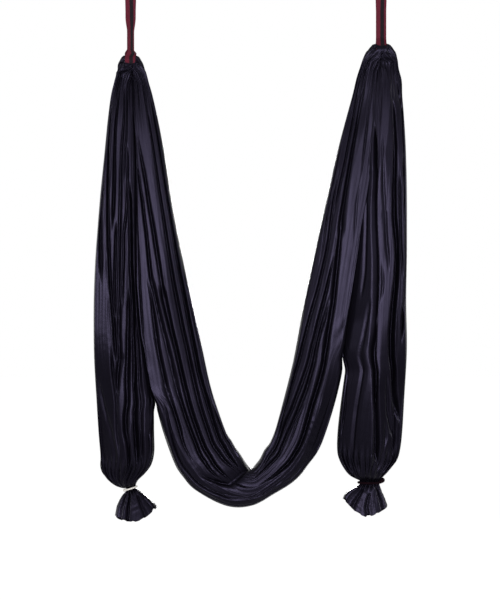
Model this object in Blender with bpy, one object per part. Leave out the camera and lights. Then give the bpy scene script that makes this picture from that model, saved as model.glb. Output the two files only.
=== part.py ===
"""Aerial yoga hammock: a gathered sling of nylon cloth hung from two straps.

Metres, +Z up, seen from the front along +Y.  The origin is the point on the inside
of the left carabiner's bow that hangs on the ceiling anchor.  The cloth is gathered
through the loop of each strap, so that its middle hangs as the sling and each end
hangs beside it as a tail, tied near its end.
"""
import math

import bmesh
import bpy
from mathutils import Matrix, Vector

# Clearance between neighbouring pieces
GAP = 0.0003

# Hanging points, and how far each strap lets the cloth down
HANG_SPAN = 0.668
STRAP_DROP = {"left": 0.170, "right": 0.139}
STRAP_TWIST = {"left": 55.0, "right": 0.0}

# Oval screw-lock carabiner, bent from round bar
BAR = 0.0105
EYE_WIDTH = 0.037
EYE_HEIGHT = 0.087
NOSE_DIAMETER = 0.0094
TANG_THICKNESS = 0.0040
TANG_CORNER_REACH = 0.0025
TANG_CORNER_RISE = 0.0042
TANG_RADIUS = 0.0042
PIVOT_ABOVE_EYE_FLOOR = 0.021
PIVOT_PIN = 0.0032
LATCH_PIN = 0.0026
LATCH_DROP = 0.0062
NOSE_BELOW_BOW = 0.0012
NOSE_TANG_ROOT = 0.0060
HOOK_DEPTH = 0.0030

# Gate, a hollow pin with a fork at each end
GATE_DIAMETER = 0.0095
GATE_END_GAP = 0.0006
GATE_TAIL = 0.0050
SHOULDER_GAP = 0.0025
TANG_ROOT = 0.0025
FORK_SLOT = 0.0046
FORK_DEPTH_AT_PIVOT = 0.0052
GATE_BORE = 0.0046
BORE_END_WALL = 0.0050
PLUNGER_LENGTH = 0.0050
SPRING_WIRE = 0.0006
SPRING_TURNS = 7

# Screw sleeve on the gate
SLEEVE_OUTER = 0.0150
SLEEVE_LENGTH = 0.0220
OPEN_BELOW_NOSE = 0.0013
SLEEVE_CLEARANCE = 0.00045
SLEEVE_FLUTES = 12
FLUTE_DEPTH = 0.0007
LOCKED_BELOW_BOW = 0.0003

# Webbing
WEB_WIDTH = 0.028
WEB_THICKNESS = 0.0016
EYE_TAPER = 0.020
LOOP_TAPER = 0.012
TACK_LENGTH = 0.012
POCKET_GAP = 0.0008

# Gathered cloth where it goes through a strap's loop
BUNDLE = 0.0374

# Sling: the place of its lowest middle, and its sections from each hitch to there.
# A row is the share of the way across and down, the direction of the section in
# degrees, and the section's width and depth.
SEAT_DROP = 1.391
SEAT_SHIFT = -0.010
SEAT_THICKNESS = 0.104
SEAT_DEPTH = 0.122
ARM_LEFT = (
    (0.089, 0.046, 6, 0.040, 0.044),
    (0.112, 0.090, 7, 0.052, 0.046),
    (0.160, 0.208, 7, 0.073, 0.056),
    (0.202, 0.326, 7, 0.087, 0.066),
    (0.254, 0.443, 8, 0.102, 0.074),
    (0.312, 0.561, 9, 0.121, 0.084),
    (0.374, 0.679, 10, 0.139, 0.092),
    (0.443, 0.796, 14, 0.154, 0.100),
    (0.562, 0.902, 30, 0.161, 0.108),
    (0.636, 0.938, 38, 0.161, 0.112),
    (0.710, 0.963, 46, 0.154, 0.116),
    (0.870, 0.994, 68, 0.130, 0.120),
)
ARM_RIGHT = (
    (0.093, 0.034, 14, 0.045, 0.045),
    (0.118, 0.067, 11, 0.053, 0.046),
    (0.146, 0.113, 12, 0.058, 0.048),
    (0.224, 0.228, 10, 0.075, 0.056),
    (0.289, 0.343, 9, 0.090, 0.066),
    (0.413, 0.572, 9, 0.121, 0.084),
    (0.497, 0.733, 12, 0.135, 0.098),
    (0.624, 0.871, 25, 0.132, 0.108),
    (0.713, 0.925, 35, 0.118, 0.112),
    (0.785, 0.952, 45, 0.115, 0.116),
    (0.893, 0.981, 66, 0.097, 0.120),
)

# Where the cloth leaves a strap's loop and turns down: outward from the loop's face,
# up, direction, width, depth
TURN = {
    "left": ((0.0046, -0.0026, 76, 0.0390, 0.0390),
             (0.0074, -0.0170, 42, 0.0340, 0.0430)),
    "right": ((0.0059, -0.0020, 74, 0.0400, 0.0400),
              (0.0104, -0.0150, 40, 0.0400, 0.0460)),
}

# Tails: drop from the hitch to the tied neck.  A row is the distance outward of the
# middle, the share of the drop, the width and the depth.
TAIL_DROP = {"left": 1.131, "right": 1.146}
TAIL = {
    "left": (
        (0.0190, 0.028, 0.042, 0.045),
        (0.0206, 0.048, 0.050, 0.047),
        (0.0250, 0.091, 0.061, 0.052),
        (0.0290, 0.209, 0.080, 0.064),
        (0.0315, 0.327, 0.101, 0.076),
        (0.0320, 0.445, 0.121, 0.086),
        (0.0305, 0.563, 0.135, 0.094),
        (0.0253, 0.682, 0.145, 0.098),
        (0.0145, 0.800, 0.152, 0.100),
        (0.0110, 0.871, 0.149, 0.100),
        (0.0085, 0.918, 0.145, 0.098),
        (0.0110, 0.947, 0.137, 0.094),
        (0.0160, 0.968, 0.114, 0.084),
        (0.0185, 0.984, 0.084, 0.066),
        (0.0120, 0.995, 0.056, 0.044),
    ),
    "right": (
        (0.0230, 0.036, 0.050, 0.047),
        (0.0245, 0.068, 0.062, 0.049),
        (0.0215, 0.115, 0.073, 0.056),
        (0.0155, 0.231, 0.101, 0.070),
        (0.0088, 0.348, 0.120, 0.080),
        (0.0022, 0.464, 0.133, 0.088),
        (-0.0055, 0.580, 0.144, 0.095),
        (-0.0105, 0.697, 0.158, 0.100),
        (-0.0228, 0.813, 0.168, 0.104),
        (-0.0298, 0.883, 0.172, 0.104),
        (-0.0335, 0.929, 0.168, 0.102),
        (-0.0345, 0.953, 0.154, 0.098),
        (-0.0370, 0.976, 0.119, 0.086),
        (-0.0370, 0.990, 0.088, 0.066),
    ),
}
NECK_OUT = {"left": -0.0010, "right": -0.0307}
NECK_WIDTH = {"left": 0.026, "right": 0.053}
NECK_DEPTH = {"left": 0.024, "right": 0.034}

# Tie round each neck, and how much of the neck shows above and below it
TIE_CORD = {"left": 0.0045, "right": 0.0060}
KNOT = {"left": 0.0080, "right": 0.0140}
NECK_SHOWN = 0.0022

# Tufts below the ties: length in the middle, how much of it is missing at the sides,
# and the fan's two side angles from straight down
TUFT_LENGTH = {"left": 0.081, "right": 0.086}
TUFT_TRIM = {"left": 0.05, "right": 0.23}
FAN_OUT = {"left": 22.0, "right": 17.0}
FAN_IN = {"left": 44.0, "right": 42.0}
TUFT_DEPTH = 0.070

# Folds in the cloth's solids
SLING_FOLDS = 10
TAIL_FOLDS = 10
TUFT_FOLDS = 8
POINTS_A_FOLD = 4
CREASE = 0.26
SADDLE_CREASE = 0.08

# Sides of the round pieces
BAR_SIDES = 14
GATE_SIDES = 28
PIN_SIDES = 16
TIE_SIDES = 10
TIE_STEPS = 28
WIRE_SIDES = 5
STEPS_A_TURN = 9

BAR_RADIUS = BAR / 2
BOW_RADIUS = (EYE_WIDTH + BAR) / 2
BOW_TOP = BAR_RADIUS - BOW_RADIUS
BOW_FLOOR = -EYE_HEIGHT - BAR_RADIUS + BOW_RADIUS
HANG_BAR = -EYE_HEIGHT - BAR_RADIUS
PIVOT = -EYE_HEIGHT + PIVOT_ABOVE_EYE_FLOOR
NOSE_SHOULDER = BOW_TOP - NOSE_BELOW_BOW
HINGE_SHOULDER = PIVOT - GATE_TAIL - SHOULDER_GAP
GATE_TOP = NOSE_SHOULDER - GATE_END_GAP
LATCH = NOSE_SHOULDER - LATCH_DROP
NOSE_TIP = LATCH - LATCH_PIN / 2 - HOOK_DEPTH
LATCH_FORK = NOSE_TIP - PIVOT - 2 * GAP
BORE_END = LATCH_FORK - BORE_END_WALL
SIDES = {"left": -1, "right": 1}
ANCHOR_X = {"left": 0.0, "right": HANG_SPAN}


def material(name, colour, roughness, metallic=0.0):
    """A Principled BSDF material."""
    made = bpy.data.materials.new(name)
    made.use_nodes = True
    shader = made.node_tree.nodes["Principled BSDF"]
    shader.inputs["Base Color"].default_value = (*colour, 1.0)
    shader.inputs["Roughness"].default_value = roughness
    shader.inputs["Metallic"].default_value = metallic
    return made


def add_object(name, mesh, finish, place=None, smooth=None):
    """Put a mesh into the scene as one named sub-part."""
    part = bpy.data.objects.new(name, mesh)
    bpy.context.scene.collection.objects.link(part)
    mesh.materials.append(finish)
    if place is not None:
        part.location = place
    if smooth is not None:
        mesh.shade_smooth()
        mesh.set_sharp_from_angle(angle=math.radians(smooth))
    return part


def mesh_from(bm, name):
    """Turn a closed bmesh into a mesh whose faces point outward."""
    bmesh.ops.recalc_face_normals(bm, faces=bm.faces)
    if bm.calc_volume(signed=True) < 0:
        bmesh.ops.reverse_faces(bm, faces=bm.faces)
    mesh = bpy.data.meshes.new(name)
    bm.to_mesh(mesh)
    bm.free()
    return mesh


def loft(name, rings, closed=False):
    """Skin a list of rings, capping the two ends unless the loft is closed."""
    bm = bmesh.new()
    rows = [[bm.verts.new(point) for point in ring] for ring in rings]
    count = len(rows[0])
    pairs = list(zip(rows, rows[1:]))
    if closed:
        pairs.append((rows[-1], rows[0]))
    for first, second in pairs:
        for i in range(count):
            j = (i + 1) % count
            bm.faces.new((first[i], first[j], second[j], second[i]))
    if not closed:
        bm.faces.new(reversed(rows[0]))
        bm.faces.new(rows[-1])
    return mesh_from(bm, name)


def cylinder(name, radius, start, end, sides=24):
    """A round bar between two points."""
    start, end = Vector(start), Vector(end)
    axis = end - start
    bm = bmesh.new()
    bmesh.ops.create_cone(bm, cap_ends=True, segments=sides, radius1=radius,
                          radius2=radius, depth=axis.length)
    turn = axis.to_track_quat("Z", "Y").to_matrix().to_4x4()
    bm.transform(Matrix.Translation((start + end) / 2) @ turn)
    return mesh_from(bm, name)


def block(name, low, high):
    """A box between two corners."""
    low, high = Vector(low), Vector(high)
    bm = bmesh.new()
    bmesh.ops.create_cube(bm, size=1.0)
    size = Matrix.Diagonal((*(high - low), 1.0))
    bm.transform(Matrix.Translation((low + high) / 2) @ size)
    return mesh_from(bm, name)


def plate(name, outline, thickness, holes=()):
    """A flat plate in the XZ plane, with its outline and holes as lists of (x, z)."""
    bm = bmesh.new()
    edges = []
    for loop in (outline, *holes):
        verts = [bm.verts.new((x, -thickness / 2, z)) for x, z in loop]
        for first, second in zip(verts, verts[1:] + verts[:1]):
            edges.append(bm.edges.new((first, second)))
    filled = bmesh.ops.triangle_fill(bm, use_beauty=True, edges=edges)
    faces = [item for item in filled["geom"] if isinstance(item, bmesh.types.BMFace)]
    grown = bmesh.ops.extrude_face_region(bm, geom=faces)
    moved = [item for item in grown["geom"] if isinstance(item, bmesh.types.BMVert)]
    bmesh.ops.translate(bm, verts=moved, vec=(0, thickness, 0))
    return mesh_from(bm, name)


def cut(part, mesh, operation="DIFFERENCE"):
    """Cut a mesh out of a part, or join it on, and keep the result."""
    tool = bpy.data.objects.new(part.name + "_tool", mesh)
    bpy.context.scene.collection.objects.link(tool)
    change = part.modifiers.new("Boolean", "BOOLEAN")
    change.object = tool
    change.operation = operation
    change.solver = "EXACT"
    graph = bpy.context.evaluated_depsgraph_get()
    result = bpy.data.meshes.new_from_object(part.evaluated_get(graph))
    part.modifiers.clear()
    part.data = result
    bpy.data.objects.remove(tool)


def arc(centre, radius, start, end, steps):
    """Points on an arc, angles in degrees, both ends included."""
    points = []
    for i in range(steps + 1):
        angle = math.radians(start + (end - start) * i / steps)
        points.append((centre[0] + radius * math.cos(angle),
                       centre[1] + radius * math.sin(angle)))
    return points


def smooth_rows(rows, count):
    """Read rows of numbers at even steps from a smooth curve through them."""
    last = len(rows) - 1
    for k in range(count):
        spot = last * k / (count - 1)
        i = min(int(spot), last - 1)
        t = spot - i
        before, after = rows[max(i - 1, 0)], rows[min(i + 2, last)]
        yield tuple(
            0.5 * (2 * b + (c - a) * t + (2 * a - 5 * b + 4 * c - d) * t * t
                   + (3 * b - a - 3 * c + d) * t ** 3)
            for a, b, c, d in zip(before, rows[i], rows[i + 1], after))


def folded_ring(middle, direction, width, depth, folds, crease):
    """One section of gathered cloth: an oval whose edge runs in and out in folds."""
    across = Vector((math.cos(direction), 0, math.sin(direction)))
    points = folds * POINTS_A_FOLD
    ring = []
    for i in range(points):
        turn = math.tau * i / points
        uneven = 0.75 + 0.25 * math.sin(3 * turn + 0.8)
        dip = crease * uneven * (0.5 - 0.5 * math.cos(folds * turn))
        ring.append(middle
                    + across * (0.5 * width * math.cos(turn) * (1 - dip))
                    + Vector((0, 0.5 * depth * math.sin(turn) * (1 - dip), 0)))
    return ring


def frame_bar():
    """The carabiner's bent bar, from its nose shoulder round to its hinge shoulder."""
    side = BOW_RADIUS
    path = [(side, NOSE_SHOULDER, 0.5 * NOSE_DIAMETER),
            (side, BOW_TOP, 0.5 * NOSE_DIAMETER)]
    path += [(x, z, BAR_RADIUS) for x, z in arc((0, BOW_TOP), side, 12, 180, 12)]
    last = 360 - math.degrees(math.asin((BOW_FLOOR - HINGE_SHOULDER) / side))
    path += [(x, z, BAR_RADIUS) for x, z in arc((0, BOW_FLOOR), side, 180, last, 14)]
    rings = []
    for k, (x, z, radius) in enumerate(path):
        ahead = path[min(k + 1, len(path) - 1)]
        behind = path[max(k - 1, 0)]
        way = Vector((ahead[0] - behind[0], 0, ahead[1] - behind[1])).normalized()
        out = Vector((way.z, 0, -way.x))
        ring = []
        for i in range(BAR_SIDES):
            turn = math.tau * i / BAR_SIDES
            ring.append(Vector((x, 0, z)) + out * (radius * math.cos(turn))
                        + Vector((0, radius * math.sin(turn), 0)))
        rings.append(ring)
    return loft("frame_bar", rings)


def hinge_tang():
    """The flat tang at the gate's pivot; its inner corner pushes on the plunger."""
    side = BOW_RADIUS
    root = HINGE_SHOULDER - TANG_ROOT
    outline = [(side - TANG_RADIUS, root), (side + TANG_RADIUS, root)]
    outline += arc((side, PIVOT), TANG_RADIUS, 0, 90, 6)
    outline += [(side - TANG_CORNER_REACH, PIVOT + TANG_CORNER_RISE),
                (side - TANG_RADIUS, PIVOT + 0.5 * TANG_CORNER_RISE)]
    hole = arc((side, PIVOT), 0.5 * PIVOT_PIN + GAP, 0, 337.5, 15)
    return plate("hinge_tang", outline, TANG_THICKNESS, [hole])


def nose_tang():
    """The flat nose with the open notch that the latch pin enters from inside."""
    side = BOW_RADIUS
    half = 0.5 * NOSE_DIAMETER - GAP
    notch = 0.5 * LATCH_PIN + 2 * GAP
    root = NOSE_SHOULDER + NOSE_TANG_ROOT
    outline = [(side - half, root), (side - half, LATCH + notch)]
    outline += arc((side, LATCH), notch, 90, -90, 8)
    outline += [(side - 0.7 * half, LATCH - notch),
                (side - 0.5 * half, NOSE_TIP),
                (side + 0.6 * half, NOSE_TIP),
                (side + half, NOSE_TIP + 0.5 * HOOK_DEPTH),
                (side + half, root)]
    return plate("nose_tang", outline, TANG_THICKNESS)


def build_frame(name, place, side, finish):
    """The fixed C-shaped part of a carabiner."""
    part = add_object(name, frame_bar(), finish)
    cut(part, hinge_tang(), "UNION")
    cut(part, nose_tang(), "UNION")
    if side < 0:
        flip(part.data)
    part.location = place
    part.data.shade_smooth()
    part.data.set_sharp_from_angle(angle=math.radians(40))


def flip(mesh):
    """Mirror a mesh across X and keep its faces outward."""
    mesh.transform(Matrix.Diagonal((-1, 1, 1, 1)))
    mesh.flip_normals()


def build_gate(name, holder, finish):
    """The hollow gate, forked at the pivot and at the latch; its parent is the pivot."""
    slot = 0.5 * FORK_SLOT
    reach = GATE_DIAMETER
    top, bottom = GATE_TOP - PIVOT, -GATE_TAIL
    pin_hole = 0.5 * PIVOT_PIN + GAP
    latch_hole = 0.5 * LATCH_PIN + GAP
    latch = LATCH - PIVOT
    part = add_object(name, cylinder("gate", 0.5 * GATE_DIAMETER, (0, 0, bottom),
                                     (0, 0, top), GATE_SIDES), finish)
    cut(part, block("pivot_fork", (-reach, -slot, bottom - reach),
                    (reach, slot, FORK_DEPTH_AT_PIVOT)))
    cut(part, block("latch_fork", (-reach, -slot, LATCH_FORK), (reach, slot, top + reach)))
    cut(part, cylinder("bore", 0.5 * GATE_BORE, (0, 0, FORK_DEPTH_AT_PIVOT - GATE_TAIL),
                       (0, 0, BORE_END), PIN_SIDES))
    cut(part, cylinder("pivot_hole", pin_hole, (0, -reach, 0), (0, reach, 0), PIN_SIDES))
    cut(part, cylinder("latch_hole", latch_hole, (0, -reach, latch), (0, reach, latch),
                       PIN_SIDES))
    part.parent = holder
    part.data.shade_smooth()
    part.data.set_sharp_from_angle(angle=math.radians(40))


def build_spring(name, holder, low, finish):
    """The coil from the plunger to the end of the gate's bore, one unbroken wire."""
    radius = 0.5 * GATE_BORE - GAP - 0.5 * SPRING_WIRE
    climb = BORE_END - GAP - low - SPRING_WIRE
    steps = STEPS_A_TURN * SPRING_TURNS
    points = []
    for k in range(steps + 1):
        turn = math.tau * SPRING_TURNS * k / steps
        rise = low + 0.5 * SPRING_WIRE + climb * k / steps
        points.append(Vector((radius * math.cos(turn), radius * math.sin(turn), rise)))
    rings = []
    for k, point in enumerate(points):
        way = (points[min(k + 1, steps)] - points[max(k - 1, 0)]).normalized()
        out = Vector((point.x, point.y, 0)).normalized()
        out = (out - way * out.dot(way)).normalized()
        up = way.cross(out)
        ring = []
        for i in range(WIRE_SIDES):
            turn = math.tau * i / WIRE_SIDES
            ring.append(point + (out * math.cos(turn) + up * math.sin(turn))
                        * 0.5 * SPRING_WIRE)
        rings.append(ring)
    gap = climb / SPRING_TURNS - SPRING_WIRE
    print(f"{name}: least gap between turns {1000 * gap:.2f} mm")
    part = add_object(name, loft("spring", rings), finish)
    part.parent = holder


def build_sleeve(name, holder, finish):
    """The screw sleeve, a fluted tube, at rest unlocked just below the nose's hook."""
    bore = 0.5 * GATE_DIAMETER + SLEEVE_CLEARANCE
    outer = 0.5 * SLEEVE_OUTER
    top = NOSE_TIP - OPEN_BELOW_NOSE - PIVOT
    low = top - SLEEVE_LENGTH
    travel = BOW_TOP - LOCKED_BELOW_BOW - PIVOT - top
    print(f"{name}: slides up {1000 * travel:.2f} mm to lock")
    rim = 2 * FLUTE_DEPTH
    points = 4 * SLEEVE_FLUTES
    stations = ((low, bore), (low, outer - rim), (low + rim, outer),
                (top - rim, outer), (top, outer - rim), (top, bore))
    rings = []
    for height, radius in stations:
        ring = []
        for i in range(points):
            turn = math.tau * i / points
            fluted = 0.0
            if radius == outer and i % 4 >= 2:
                fluted = FLUTE_DEPTH
            ring.append(Vector(((radius - fluted) * math.cos(turn),
                                (radius - fluted) * math.sin(turn), height)))
        rings.append(ring)
    part = add_object(name, loft("sleeve", rings, closed=True), finish)
    part.parent = holder


def build_carabiner(side_name, finishes):
    """All the pieces of one carabiner, mirrored so that its gate faces outward."""
    side = SIDES[side_name]
    place = Vector((ANCHOR_X[side_name], 0, 0))
    build_frame(f"carabiner_frame_{side_name}", place, side, finishes["alloy"])
    holder = bpy.data.objects.new(f"pivot_{side_name}", None)
    bpy.context.scene.collection.objects.link(holder)
    holder.location = place + Vector((side * BOW_RADIUS, 0, PIVOT))
    build_gate(f"carabiner_gate_{side_name}", holder, finishes["gate"])

    length = 0.5 * GATE_DIAMETER - GAP
    pivot_pin = cylinder("pivot_pin", 0.5 * PIVOT_PIN, (0, -length, 0), (0, length, 0),
                         PIN_SIDES)
    add_object(f"gate_pivot_pin_{side_name}", pivot_pin, finishes["steel"],
               place + Vector((side * BOW_RADIUS, 0, PIVOT)), 40)
    latch_pin = cylinder("latch_pin", 0.5 * LATCH_PIN, (0, -length, LATCH - PIVOT),
                         (0, length, LATCH - PIVOT), PIN_SIDES)
    add_object(f"gate_latch_pin_{side_name}", latch_pin, finishes["steel"],
               smooth=40).parent = holder

    tip = TANG_CORNER_RISE + GAP
    plunger = cylinder("plunger", 0.5 * GATE_BORE - GAP, (0, 0, tip),
                       (0, 0, tip + PLUNGER_LENGTH), PIN_SIDES)
    add_object(f"gate_plunger_{side_name}", plunger, finishes["steel"],
               smooth=40).parent = holder
    build_spring(f"gate_spring_{side_name}", holder, tip + PLUNGER_LENGTH + GAP,
                 finishes["steel"])
    build_sleeve(f"lock_sleeve_{side_name}", holder, finishes["sleeve"])


def tangent_angle(point_y, point_z, radius):
    """Angle from the circle's centre to where a line from the point touches it."""
    reach = math.hypot(point_y, point_z)
    return math.degrees(math.atan2(point_z, point_y)) + math.degrees(
        math.acos(radius / reach))


def strap_outlines(drop):
    """The strap's side view: its outer outline and the two loops, as (y, z) lists.

    The eye rides on the carabiner's bar, whose bow rises across the strap's width, so
    the eye's radius is that rise and the bar's own half height.
    """
    half = WEB_WIDTH / 2
    inside = EYE_WIDTH / 2
    eye = BAR_RADIUS + inside - math.sqrt(inside ** 2 - half ** 2) + GAP
    loop = BUNDLE / 2 + GAP
    eye_outer, loop_outer = eye + WEB_THICKNESS, loop + WEB_THICKNESS
    eye_neck = -eye_outer - EYE_TAPER
    loop_neck = -drop + loop_outer + LOOP_TAPER
    flat = WEB_THICKNESS

    turn = tangent_angle(flat, -(loop_neck + drop), loop_outer)
    loop_side = arc((0, -drop), loop_outer, -90, -turn, 12)
    turn = tangent_angle(flat, eye_neck, eye_outer)
    eye_side = arc((0, 0), eye_outer, turn, 90, 10)
    straight = loop_neck - eye_neck
    steps = 14
    shaft = [(flat, loop_neck - straight * k / steps) for k in range(steps + 1)]
    right = loop_side + shaft + eye_side
    outline = right + [(-y, z) for y, z in reversed(right[1:-1])]

    turn = tangent_angle(0, eye_neck + 2 * flat, eye)
    eye_hole = arc((0, 0), eye, turn, 180 - turn, 16) + [(0, eye_neck + 2 * flat)]
    turn = tangent_angle(0, -(loop_neck + drop - 2 * flat), loop)
    loop_hole = arc((0, -drop), loop, -turn, turn - 180, 18)
    loop_hole.append((0, loop_neck - 2 * flat))
    return outline, [eye_hole, loop_hole], eye_neck, loop_neck


def build_strap(side_name, finish):
    """A webbing strap: an eye on the carabiner and a loop round the cloth."""
    drop = STRAP_DROP[side_name]
    outline, holes, eye_neck, loop_neck = strap_outlines(drop)
    pocket = 0.5 * POCKET_GAP
    high, low = eye_neck - TACK_LENGTH, loop_neck + TACK_LENGTH
    steps = 10
    pocket_side = [(pocket, low + (high - low) * k / steps) for k in range(1, steps)]
    holes.append([(0, low)] + pocket_side + [(0, high)]
                 + [(-y, z) for y, z in reversed(pocket_side)])
    mesh = plate("strap", outline, WEB_WIDTH, holes)
    for vert in mesh.vertices:
        y, x, z = vert.co
        share = min(max((eye_neck - z) / (eye_neck - loop_neck), 0.0), 1.0)
        turn = math.radians(STRAP_TWIST[side_name]) * math.sin(math.pi * share ** 2)
        vert.co = (x * math.cos(turn) - y * math.sin(turn),
                   x * math.sin(turn) + y * math.cos(turn), z)
    mesh.flip_normals()
    add_object(f"hanging_strap_{side_name}", mesh, finish,
               (ANCHOR_X[side_name], 0, HANG_BAR), 40)


def hitch(side_name):
    """The middle of the strap's lower loop."""
    return Vector((ANCHOR_X[side_name], 0, HANG_BAR - STRAP_DROP[side_name]))


def build_saddle(side_name, finish):
    """The short bundle of cloth inside a strap's loop."""
    half = WEB_WIDTH / 2
    rings = []
    for x in (-half, 0, half):
        ring = folded_ring(Vector((0, 0, 0)), math.radians(90), BUNDLE, BUNDLE,
                           TAIL_FOLDS, SADDLE_CREASE)
        rings.append([point + Vector((x, 0, 0)) for point in ring])
    add_object(f"fabric_saddle_{side_name}", loft("saddle", rings), finish,
               hitch(side_name), 50)


def loop_exit():
    """Distance from the strap's middle to the face where the cloth leaves its loop."""
    return WEB_WIDTH / 2 + 2 * GAP


def sling_rows(side_name, seat):
    """The sling's sections from one hitch to the seat, as world x, z, direction..."""
    start = hitch(side_name)
    inward = -SIDES[side_name]
    rows = [(start.x + inward * loop_exit(), start.z, 90, BUNDLE, BUNDLE)]
    for out, up, turn, width, depth in TURN[side_name]:
        rows.append((start.x + inward * (loop_exit() + out), start.z + up, turn,
                     width, depth))
    arm = ARM_LEFT if side_name == "left" else ARM_RIGHT
    for across, down, turn, width, depth in arm:
        rows.append((start.x + across * (seat.x - start.x),
                     start.z + down * (seat.z - start.z), turn, width, depth))
    if inward < 0:
        rows = [(x, z, 180 - turn, width, depth) for x, z, turn, width, depth in rows]
    return rows


def build_sling(finish):
    """The part of the cloth that hangs between the two hitches and carries a person."""
    seat = Vector((HANG_SPAN / 2 + SEAT_SHIFT, 0, -SEAT_DROP))
    rows = sling_rows("left", seat)
    rows.append((seat.x, seat.z, 90, SEAT_THICKNESS, SEAT_DEPTH))
    rows += reversed(sling_rows("right", seat))
    rings = []
    for x, z, turn, width, depth in smooth_rows(rows, 31):
        crease = CREASE * min(1.0, width / SEAT_THICKNESS)
        rings.append(folded_ring(Vector((x, 0, z)), math.radians(turn), width, depth,
                                 SLING_FOLDS, crease))
    add_object("fabric_sling", loft("sling", rings), finish, smooth=60)


def build_tail(side_name, finish):
    """The end of the cloth, from the hitch down to its tied neck; origin on the hitch."""
    outward = SIDES[side_name]
    drop = TAIL_DROP[side_name]
    rows = [(loop_exit(), 0, 90, BUNDLE, BUNDLE)]
    rows += [(loop_exit() + out, *turned) for out, *turned in TURN[side_name]]
    rows += [(out, -share * drop, 0, width, depth)
             for out, share, width, depth in TAIL[side_name]]
    neck = (NECK_OUT[side_name], -drop, 0, NECK_WIDTH[side_name], NECK_DEPTH[side_name])
    rows.append(neck)
    rings = []
    for out, up, turn, width, depth in smooth_rows(rows, 26):
        crease = CREASE * min(1.0, width / SEAT_THICKNESS)
        direction = turn if outward > 0 else 180 - turn
        rings.append(folded_ring(Vector((outward * out, 0, up)),
                                 math.radians(direction), width, depth,
                                 TAIL_FOLDS, crease))
    below = Vector((0, 0, -neck_length(side_name)))
    rings.append([point + below for point in rings[-1]])
    add_object(f"fabric_tail_{side_name}", loft("tail", rings), finish,
               hitch(side_name), 60)


def neck_length(side_name):
    """Length of the straight neck that the tie sits on."""
    return TIE_CORD[side_name] + 2 * NECK_SHOWN


def neck_place(side_name):
    """The middle of the tied neck."""
    return hitch(side_name) + Vector((SIDES[side_name] * NECK_OUT[side_name], 0,
                                      -TAIL_DROP[side_name] - neck_length(side_name) / 2))


def build_tie(side_name, finish):
    """The tie round a neck, one ring of cord with its knot at the outer side."""
    cord = TIE_CORD[side_name] / 2
    reach_x = NECK_WIDTH[side_name] / 2 + GAP + cord
    reach_y = NECK_DEPTH[side_name] / 2 + GAP + cord
    knot = KNOT[side_name] / 2
    rings = []
    for k in range(TIE_STEPS):
        turn = math.tau * k / TIE_STEPS
        out = Vector((math.cos(turn), math.sin(turn), 0))
        swell = max(0.0, math.cos(turn)) ** 12
        radius = cord + (knot - cord) * swell
        middle = Vector((reach_x * out.x, reach_y * out.y, 0)) + out * (radius - cord)
        ring = []
        for i in range(TIE_SIDES):
            angle = math.tau * i / TIE_SIDES
            ring.append(middle + out * (radius * math.cos(angle))
                        + Vector((0, 0, radius * math.sin(angle))))
        rings.append(ring)
    mesh = loft("tie", rings, closed=True)
    if SIDES[side_name] < 0:
        flip(mesh)
    add_object(f"tail_tie_{side_name}", mesh, finish, neck_place(side_name), 60)


def build_tuft(side_name, finish):
    """The loose end below a tie, a fan of folds cut off in an uneven hem."""
    outward = SIDES[side_name]
    middle = 0.5 * (FAN_OUT[side_name] - FAN_IN[side_name])
    half = 0.5 * (FAN_OUT[side_name] + FAN_IN[side_name])
    length = TUFT_LENGTH[side_name]
    top = Vector((0, 0, -neck_length(side_name) / 2 - GAP))
    points = TUFT_FOLDS * POINTS_A_FOLD
    steps = 8
    rings = []
    for k in range(steps + 1):
        share = k / steps
        ring = []
        for i in range(points):
            turn = math.tau * i / points
            dip = 1 - CREASE * share * (0.5 - 0.5 * math.cos(TUFT_FOLDS * turn))
            lean = math.radians(middle + half * math.cos(turn) * dip)
            ragged = 1 + 0.05 * share * math.sin(5 * turn + 0.7)
            trim = 1 - TUFT_TRIM[side_name] * math.cos(turn) ** 2
            reach = length * share * ragged * trim
            neck = 0.5 * NECK_WIDTH[side_name] * math.cos(turn)
            depth = 0.5 * (NECK_DEPTH[side_name]
                           + (TUFT_DEPTH - NECK_DEPTH[side_name]) * share)
            ring.append(top + Vector((outward * (neck + reach * math.sin(lean)),
                                      depth * math.sin(turn) * dip,
                                      -reach * math.cos(lean))))
        rings.append(ring)
    add_object(f"tail_tuft_{side_name}", loft("tuft", rings), finish,
               neck_place(side_name), 60)


def main():
    for item in list(bpy.data.objects):
        bpy.data.objects.remove(item)
    finishes = {
        "alloy": material("brushed_alloy", (0.42, 0.43, 0.45), 0.32, 1.0),
        "gate": material("gate_alloy", (0.46, 0.47, 0.49), 0.28, 1.0),
        "sleeve": material("black_anodised", (0.03, 0.03, 0.035), 0.40, 0.8),
        "steel": material("steel", (0.55, 0.55, 0.56), 0.30, 1.0),
        "web": material("black_webbing", (0.02, 0.018, 0.02), 0.75),
        "cloth": material("dark_nylon_cloth", (0.020, 0.018, 0.032), 0.42),
        "pale_cord": material("pale_cord", (0.75, 0.73, 0.70), 0.80),
        "dark_cord": material("dark_red_cord", (0.09, 0.02, 0.03), 0.70),
    }
    ties = {"left": finishes["pale_cord"], "right": finishes["dark_cord"]}
    for side_name in SIDES:
        build_carabiner(side_name, finishes)
        build_strap(side_name, finishes["web"])
        build_saddle(side_name, finishes["cloth"])
        build_tail(side_name, finishes["cloth"])
        build_tie(side_name, ties[side_name])
        build_tuft(side_name, finishes["cloth"])
    build_sling(finishes["cloth"])


main()
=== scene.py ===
"""Aerial yoga hammock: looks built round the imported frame.

Metres, +Z up, seen from the front along +Y.  The cloth is one sheet, gathered, so each
part of it is made as it lies: a wrap round the outside whose folds are set by charts,
and the rest of the width folded to and fro inside the wrap.
"""
import math

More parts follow.
